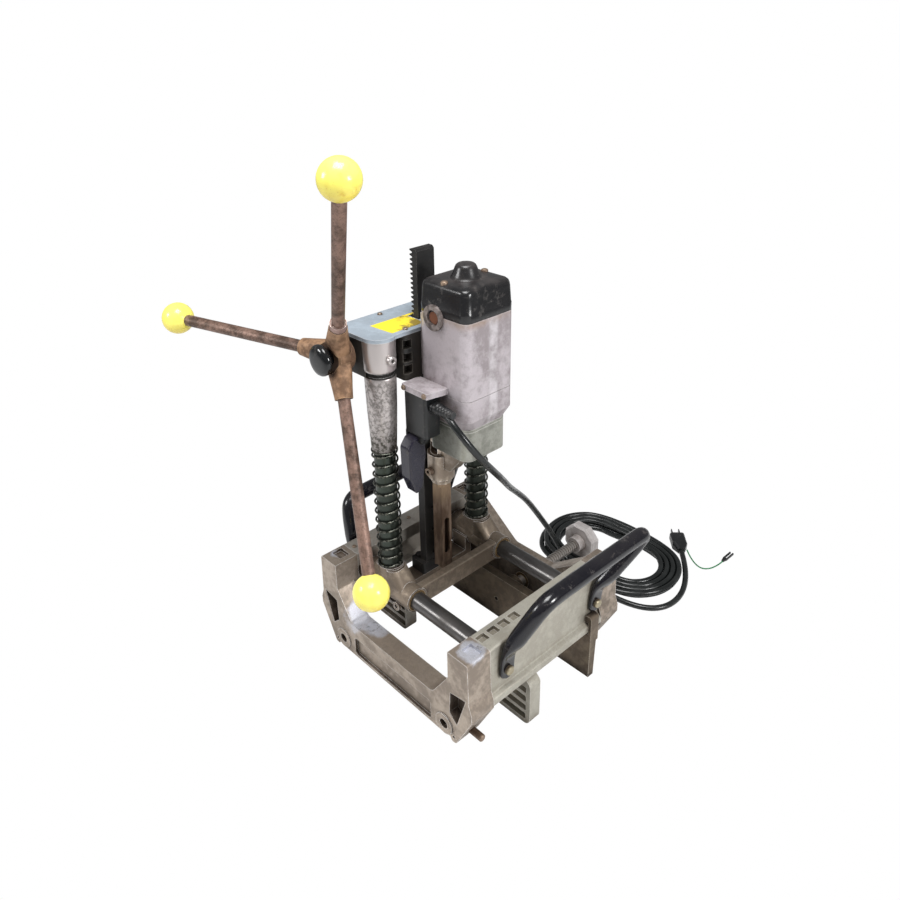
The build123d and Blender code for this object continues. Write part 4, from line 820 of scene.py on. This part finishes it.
def motor_cap(sides=96):
    """Rings of rounded squares up the wall and over the shoulder, turning to circles on the cone.

    Each row gives height, half width and corner radius; where the last two are equal the ring
    is a circle.
    """
    rows = np.array([
        (0.5342, 0.0405, 0.0110), (0.5342, 0.0420, 0.0116), (0.5350, 0.0424, 0.0118),
        (0.5440, 0.0424, 0.0115), (0.5448, 0.0419, 0.0112), (0.5640, 0.0409, 0.0110),
        (0.5690, 0.0403, 0.0110), (0.5717, 0.0393, 0.0110), (0.5734, 0.0376, 0.0108),
        (0.5742, 0.0350, 0.0110), (0.5750, 0.0290, 0.0160), (0.5753, 0.0240, 0.0240),
        (0.5755, 0.0196, 0.0196), (0.5762, 0.0188, 0.0188), (0.5785, 0.0176, 0.0176),
        (0.5830, 0.0155, 0.0155), (0.5880, 0.0136, 0.0136), (0.5905, 0.0124, 0.0124),
        (0.5922, 0.0103, 0.0103), (0.5930, 0.0070, 0.0070), (0.5932, 0.0004, 0.0004),
    ])
    turn = np.linspace(0, 2 * np.pi, sides, endpoint=False) + np.pi / sides
    flat = (rows[:, 1] - rows[:, 2])[:, None]
    x = motor_x + flat * np.sign(np.cos(turn)) + rows[:, 2:] * np.cos(turn)
    y = flat * np.sign(np.sin(turn)) + rows[:, 2:] * np.sin(turn)
    z = rows[:, :1] + 0 * turn
    return grid_mesh("motor_cap_moulding", np.stack([x, y, z], -1), cap_finish)


cap = motor_cap()
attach(cap, "head")
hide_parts("motor_cap")
screw_dome = [
    (-0.003, 0.0046), (0.0012, 0.0046), (0.0024, 0.0038), (0.0031, 0.0022), (0.0033, 0.0002)
]
screw_x = motor_x - 0.002
screw_y = 0.034
screw_seat = 0.5745
for place, y in (("front", -screw_y), ("rear", screw_y)):
    head = turned(
        "cap_screw_" + place, screw_dome, (screw_x, y, screw_seat), (0, 0, 1), fastener, sides=24
    )
    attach(head, "head")
    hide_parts("cap_screws")


brush_x = -0.010
brush_height = 0.531


def brush_cap_finish():
    """Dull metal screw ring with an orange-brown phenolic centre."""
    finish = Finish("brush_cap_ring", Metallic=0.2)
    across = finish.along("X") - brush_x
    up = finish.along("Z") - brush_height
    reach = (across * across + up * up) ** 0.5
    clouds = finish.noise(140, 5)
    tone = finish.blend(clouds.between(0.35, 0.65), (0.07, 0.055, 0.05), (0.26, 0.22, 0.21))
    tone = finish.blend(1.0 - reach.between(0.0082, 0.0095), tone, (0.15, 0.05, 0.022))
    finish.feed("Base Color", tone)
    finish.feed("Roughness", 0.28 + clouds * 0.25)
    return finish


dress(brush_cap_finish(), "brush_caps")

# ---------------------------------------------------------------------------
# Gear housing, chisel holder and chisel: grey-green casting above, a turned
# steel holder with a clamp bracket, and a brown tarnished hollow chisel.
# ---------------------------------------------------------------------------

dress(
    worn_metal(
        "gear_casting", (0.36, 0.36, 0.32), (0.10, 0.105, 0.085), (0.68, 0.67, 0.62), rough=0.38
    ),
    "gear_housing", "gear_cover",
)
dress(
    worn_metal(
        "turned_holder", (0.48, 0.41, 0.34), (0.12, 0.075, 0.045), (0.9, 0.85, 0.78),
        rough=0.26, metallic=0.9,
    ),
    "chisel_holder",
)


def tarnished_steel():
    """Tool steel with brown tarnish in soft upright clouds, lighter towards the holder, and painted
    shade in corners.
    """
    finish = Finish("chisel_tarnish", Metallic=0.6)
    clouds = finish.noise(2.2, 5, 0.6, place=finish.stretched((28, 28, 9)))
    fine = finish.noise(500, 3)
    tone = finish.blend(clouds.between(0.35, 0.65), (0.10, 0.062, 0.04), (0.26, 0.185, 0.135))
    tone = finish.blend(finish.along("Z").between(0.225, 0.262) * 0.6, tone, (0.42, 0.30, 0.19))
    # Painted shade deep in corners, from ambient occlusion.
    tone = finish.blend(finish.corners(0.01).between(0.15, 0.7) * 0.7, tone, (0.03, 0.02, 0.014))
    finish.feed("Base Color", tone)
    finish.feed("Roughness", 0.38 + fine * 0.2)
    finish.relief(fine, 0.0002, 0.5)
    return finish


dress(tarnished_steel(), "chisel", "auger_bit")

# ---------------------------------------------------------------------------
# Switch: black moulded box under the bracket, a dark navy paddle trigger,
# and the cord's gland, plug and earth clip in the same moulded black.
# ---------------------------------------------------------------------------

moulded_black = black_paint("moulded_black", (0.007, 0.008, 0.009), rough=0.3, dust=0.15, peel=0.2)
dress(moulded_black, "switch_box", "cord_plug", "earth_clip", "cord_gland")
dress(
    black_paint("trigger_navy", (0.012, 0.011, 0.022), rough=0.25, dust=0.15, peel=0.15),
    "trigger",
)

# ---------------------------------------------------------------------------
# Cord: about 5 m of black rubber cord, 9 mm thick, from the gland over the
# carriage down to a hank on the floor, with a plug and a thin green earth
# wire.
# ---------------------------------------------------------------------------


def rubber(name, colour):
    """Smooth rubber with a faint bloom and dust."""
    finish = Finish(name, IOR=1.5)
    bloom = finish.noise(40, 5).between(0.4, 0.7)
    pale = [value * 2 + 0.012 for value in colour]
    finish.feed("Base Color", finish.blend(bloom * 0.3, colour, pale))
    finish.feed("Roughness", 0.26 + bloom * 0.16)
    finish.relief(finish.noise(900, 2), 0.00006, 0.4)
    return finish


def as_mesh(piece, finish):
    """The curve turned into a mesh piece of the same name."""
    mesh = final_mesh(piece)
    name = piece.name
    bpy.data.objects.remove(piece)
    mesh.polygons.foreach_set("use_smooth", [True] * len(mesh.polygons))
    mesh.materials.clear()
    mesh.materials.append(finish.material)
    solid = bpy.data.objects.new(name, mesh)
    bpy.context.scene.collection.objects.link(solid)
    return solid


cord_radius = 0.0045
cord_finish = rubber("cord_rubber", (0.006, 0.0075, 0.0075))
meeting = (0.018, 0.062, 0.262)

upper_route = [
    (0.0002, -0.057, 0.420),
    (0.020, -0.057, 0.420),
    (0.048, -0.060, 0.403),
    (0.066, -0.044, 0.370),
    (0.061, -0.010, 0.332),
    (0.041, 0.027, 0.296),
    meeting,
]
lower_route = [
    meeting,
    (0.0054, 0.0813, 0.2433),
    (-0.019, 0.125, 0.204),
    (-0.034, 0.164, 0.166),
    (-0.042, 0.206, 0.112),
    (-0.031, 0.233, 0.063),
    (0.000, 0.2395, 0.0142),
    (0.047, 0.2395, 0.0142),
]


def hanging_lead(name, route, node):
    """One hanging stretch of the cord, a fixed mesh between the two bodies that it joins."""
    line = nurbs_line(name, route, cord_radius)
    path = as_points(line)
    lead = as_mesh(line, cord_finish)
    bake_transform(lead)
    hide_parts(node)


rib_count = 5
rib_pitch = 0.0046
rib_height = 0.0008
relief_profile = [(0.0090, 0.0048), (0.0090, 0.0076), (0.0105, 0.0078)]
for rib in range(rib_count):
    start = 0.0125 + rib_pitch * rib
    size = 0.0072 - 0.0004 * rib
    relief_profile += [
        (start, size - rib_height), (start + 0.0008, size),
        (start + 0.0028, size), (start + 0.0034, size - rib_height),
    ]
relief_profile += [(0.0365, 0.0050), (0.0368, 0.0046)]
gland_centre = (0, -0.057, 0.420)
strain_relief = turned(
    "cord_strain_relief", relief_profile, gland_centre, (1, 0, 0), moulded_black, sides=32
)
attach(strain_relief, "head")

hanging_lead(
    "cord_lead_from_switch", upper_route, "cord_lead_upper",
)
hanging_lead(
    "cord_lead_to_floor", lower_route, "cord_lead_lower",
)

hank_y = 0.322
hank_right = 0.056
hank_left = -0.024
hank_radius = 0.0825
strand_pitch = 0.0096
low_layer = 0.0047
high_layer = 0.0142
near_y = hank_y - hank_radius
half_turns = 7
lead_in = 0.009
quarter_corner = 0.41


def end_turn(x, start_y, end_y, z, bulge):
    """Control points round one end of the hank: half a circle from one strand to the next.

    They are corners of the octagon outside that circle, which the curve rounds off.
    """
    radius = abs(end_y - start_y) / 2
    middle = (start_y + end_y) / 2
    heading = 1 if end_y > start_y else -1
    corners = [
        (quarter_corner, -1), (1, -quarter_corner), (1, quarter_corner), (quarter_corner, 1)
    ]
    return [
        (x + bulge * radius * reach, middle + heading * radius * side, z)
        for reach, side in corners
    ]


lanes = [near_y]
for step in range(half_turns):
    width = 2 * hank_radius - strand_pitch * step
    lanes.append(lanes[-1] + (width if step % 2 == 0 else -width))
hank_route = [(hank_right - lead_in, near_y, high_layer)]
for step in range(half_turns):
    end_x, bulge = ((hank_right, 1), (hank_left, -1))[step % 2]
    hank_route += end_turn(end_x, lanes[step], lanes[step + 1], high_layer, bulge)
hank_route += [(0.04, lanes[-1], high_layer), (-0.01, lanes[-1], low_layer)]
back = [lanes[-1]] + lanes[half_turns - 1 :: -1]
for step in range(half_turns):
    end_x, bulge = ((hank_left, -1), (hank_right, 1))[step % 2]
    hank_route += end_turn(end_x, back[step], back[step + 1], low_layer, bulge)
hank_route.append((hank_right + lead_in, near_y, low_layer))
tail_route = [
    (hank_right + lead_in, near_y, low_layer),
    (0.152, near_y, low_layer),
    (0.166, 0.345, 0.006),
    (0.100, 0.415, 0.010),
]
earth_route = [
    (0.10468, 0.4249, 0.01017),
    (0.132, 0.404, 0.0014),
    (0.158, 0.416, 0.0014),
    (0.158, 0.450, 0.0014),
]


def lying_cord(name, route, radius, finish, node):
    """One stretch of cord or wire that lies on the floor."""
    line = nurbs_line(name, route, radius)
    line.data.materials.append(finish.material)
    length = float(distances(as_points(line))[-1])
    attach(line, "base")
    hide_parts(node)


lying_cord(
    "cord_hank", hank_route, cord_radius, cord_finish, "cord_coil",
)
lying_cord(
    "cord_tail_lead", tail_route, cord_radius, cord_finish, "cord_tail",
)
earth_radius = 0.0011
earth_finish = rubber("earth_wire_green", (0.01, 0.16, 0.05))
lying_cord(
    "earth_wire", earth_route, earth_radius, earth_finish, "earth_lead",
)

# ---------------------------------------------------------------------------
# Stage: white floor and backdrop, soft light from above and both sides, and
# the camera where the photographer stood. Its focal length and the point that
# its axis meets are in pixels of the photo.
# ---------------------------------------------------------------------------

floor_finish = bpy.data.materials.new("stage_floor")
floor_finish.use_nodes = True
tree = floor_finish.node_tree
tree.nodes.clear()
plain = tree.nodes.new("ShaderNodeBsdfDiffuse")
plain.inputs["Color"].default_value = (0.8, 0.8, 0.8, 1)
glow = tree.nodes.new("ShaderNodeEmission")
glow.inputs["Color"].default_value = (1, 1, 1, 1)
rays = tree.nodes.new("ShaderNodeLightPath")
mixed = tree.nodes.new("ShaderNodeMixShader")
output = tree.nodes.new("ShaderNodeOutputMaterial")
tree.links.new(rays.outputs["Is Camera Ray"], mixed.inputs[0])
tree.links.new(plain.outputs[0], mixed.inputs[1])
tree.links.new(glow.outputs[0], mixed.inputs[2])
tree.links.new(mixed.outputs[0], output.inputs[0])
floor_half = 7
floor_corners = [
    (x * floor_half, y * floor_half, 0) for x, y in ((-1, -1), (1, -1), (1, 1), (-1, 1))
]
floor_mesh = bpy.data.meshes.new("stage_floor")
floor_mesh.from_pydata(floor_corners, [], [(0, 1, 2, 3)])
floor_mesh.materials.append(floor_finish)
floor = bpy.data.objects.new("stage_floor", floor_mesh)
bpy.context.scene.collection.objects.link(floor)

sky_light = 0.27
sky_in_view = 1.0
world = bpy.data.worlds.new("studio")
bpy.context.scene.world = world
world.use_nodes = True
sky = world.node_tree.nodes["Background"]
sky.inputs["Color"].default_value = (1, 1, 1, 1)
sky_rays = world.node_tree.nodes.new("ShaderNodeLightPath")
sky_share = world.node_tree.nodes.new("ShaderNodeMapRange")
sky_share.inputs["To Min"].default_value = sky_light
sky_share.inputs["To Max"].default_value = sky_in_view
world.node_tree.links.new(sky_rays.outputs["Is Camera Ray"], sky_share.inputs["Value"])
world.node_tree.links.new(sky_share.outputs[0], sky.inputs["Strength"])


def soft_lamp(name, spot, aim, size, power):
    """A large square lamp that shines from spot towards aim."""
    lamp = bpy.data.lights.new(name, "AREA")
    lamp.shape = "SQUARE"
    lamp.size = size
    lamp.energy = power
    piece = bpy.data.objects.new(name, lamp)
    piece.location = spot
    piece.rotation_euler = (Vector(aim) - Vector(spot)).to_track_quat("-Z", "Y").to_euler()
    bpy.context.scene.collection.objects.link(piece)


middle_of_machine = (0, 0, 0.25)
soft_lamp("overhead", (0.2, -0.3, 1.9), middle_of_machine, size=0.8, power=30)
soft_lamp("left_front", (-0.9, -1.5, 1.2), middle_of_machine, size=0.5, power=15)
soft_lamp("right_side", (1.7, 0.2, 1.0), middle_of_machine, size=0.4, power=20)

photo_side = 900
focal_length = 802.25
axis_across = 429.4
axis_down = 365.2
sensor_width = 36
camera_place = (0.6656, -0.6492, 0.8667)
camera_data = bpy.data.cameras.new("photo_view")
camera_data.sensor_width = sensor_width
camera_data.lens = focal_length / photo_side * sensor_width
camera_data.shift_x = (photo_side / 2 - axis_across) / photo_side
camera_data.shift_y = (axis_down - photo_side / 2) / photo_side
camera_data.clip_start = 0.05
camera = bpy.data.objects.new("photo_view", camera_data)
bpy.context.scene.collection.objects.link(camera)
right = Vector((0.67060, 0.74134, -0.02667)).normalized()
ahead = Vector((-0.68637, 0.60644, -0.40141)).normalized()
above = right.cross(ahead).normalized()
turned_camera = Matrix((
    (right.x, above.x, -ahead.x, 0),
    (right.y, above.y, -ahead.y, 0),
    (right.z, above.z, -ahead.z, 0),
    (0, 0, 0, 1),
))
camera.matrix_world = Matrix.Translation(camera_place) @ turned_camera
bpy.context.scene.camera = camera
bpy.context.scene.view_settings.view_transform = "Standard"

bpy.context.view_layer.update()
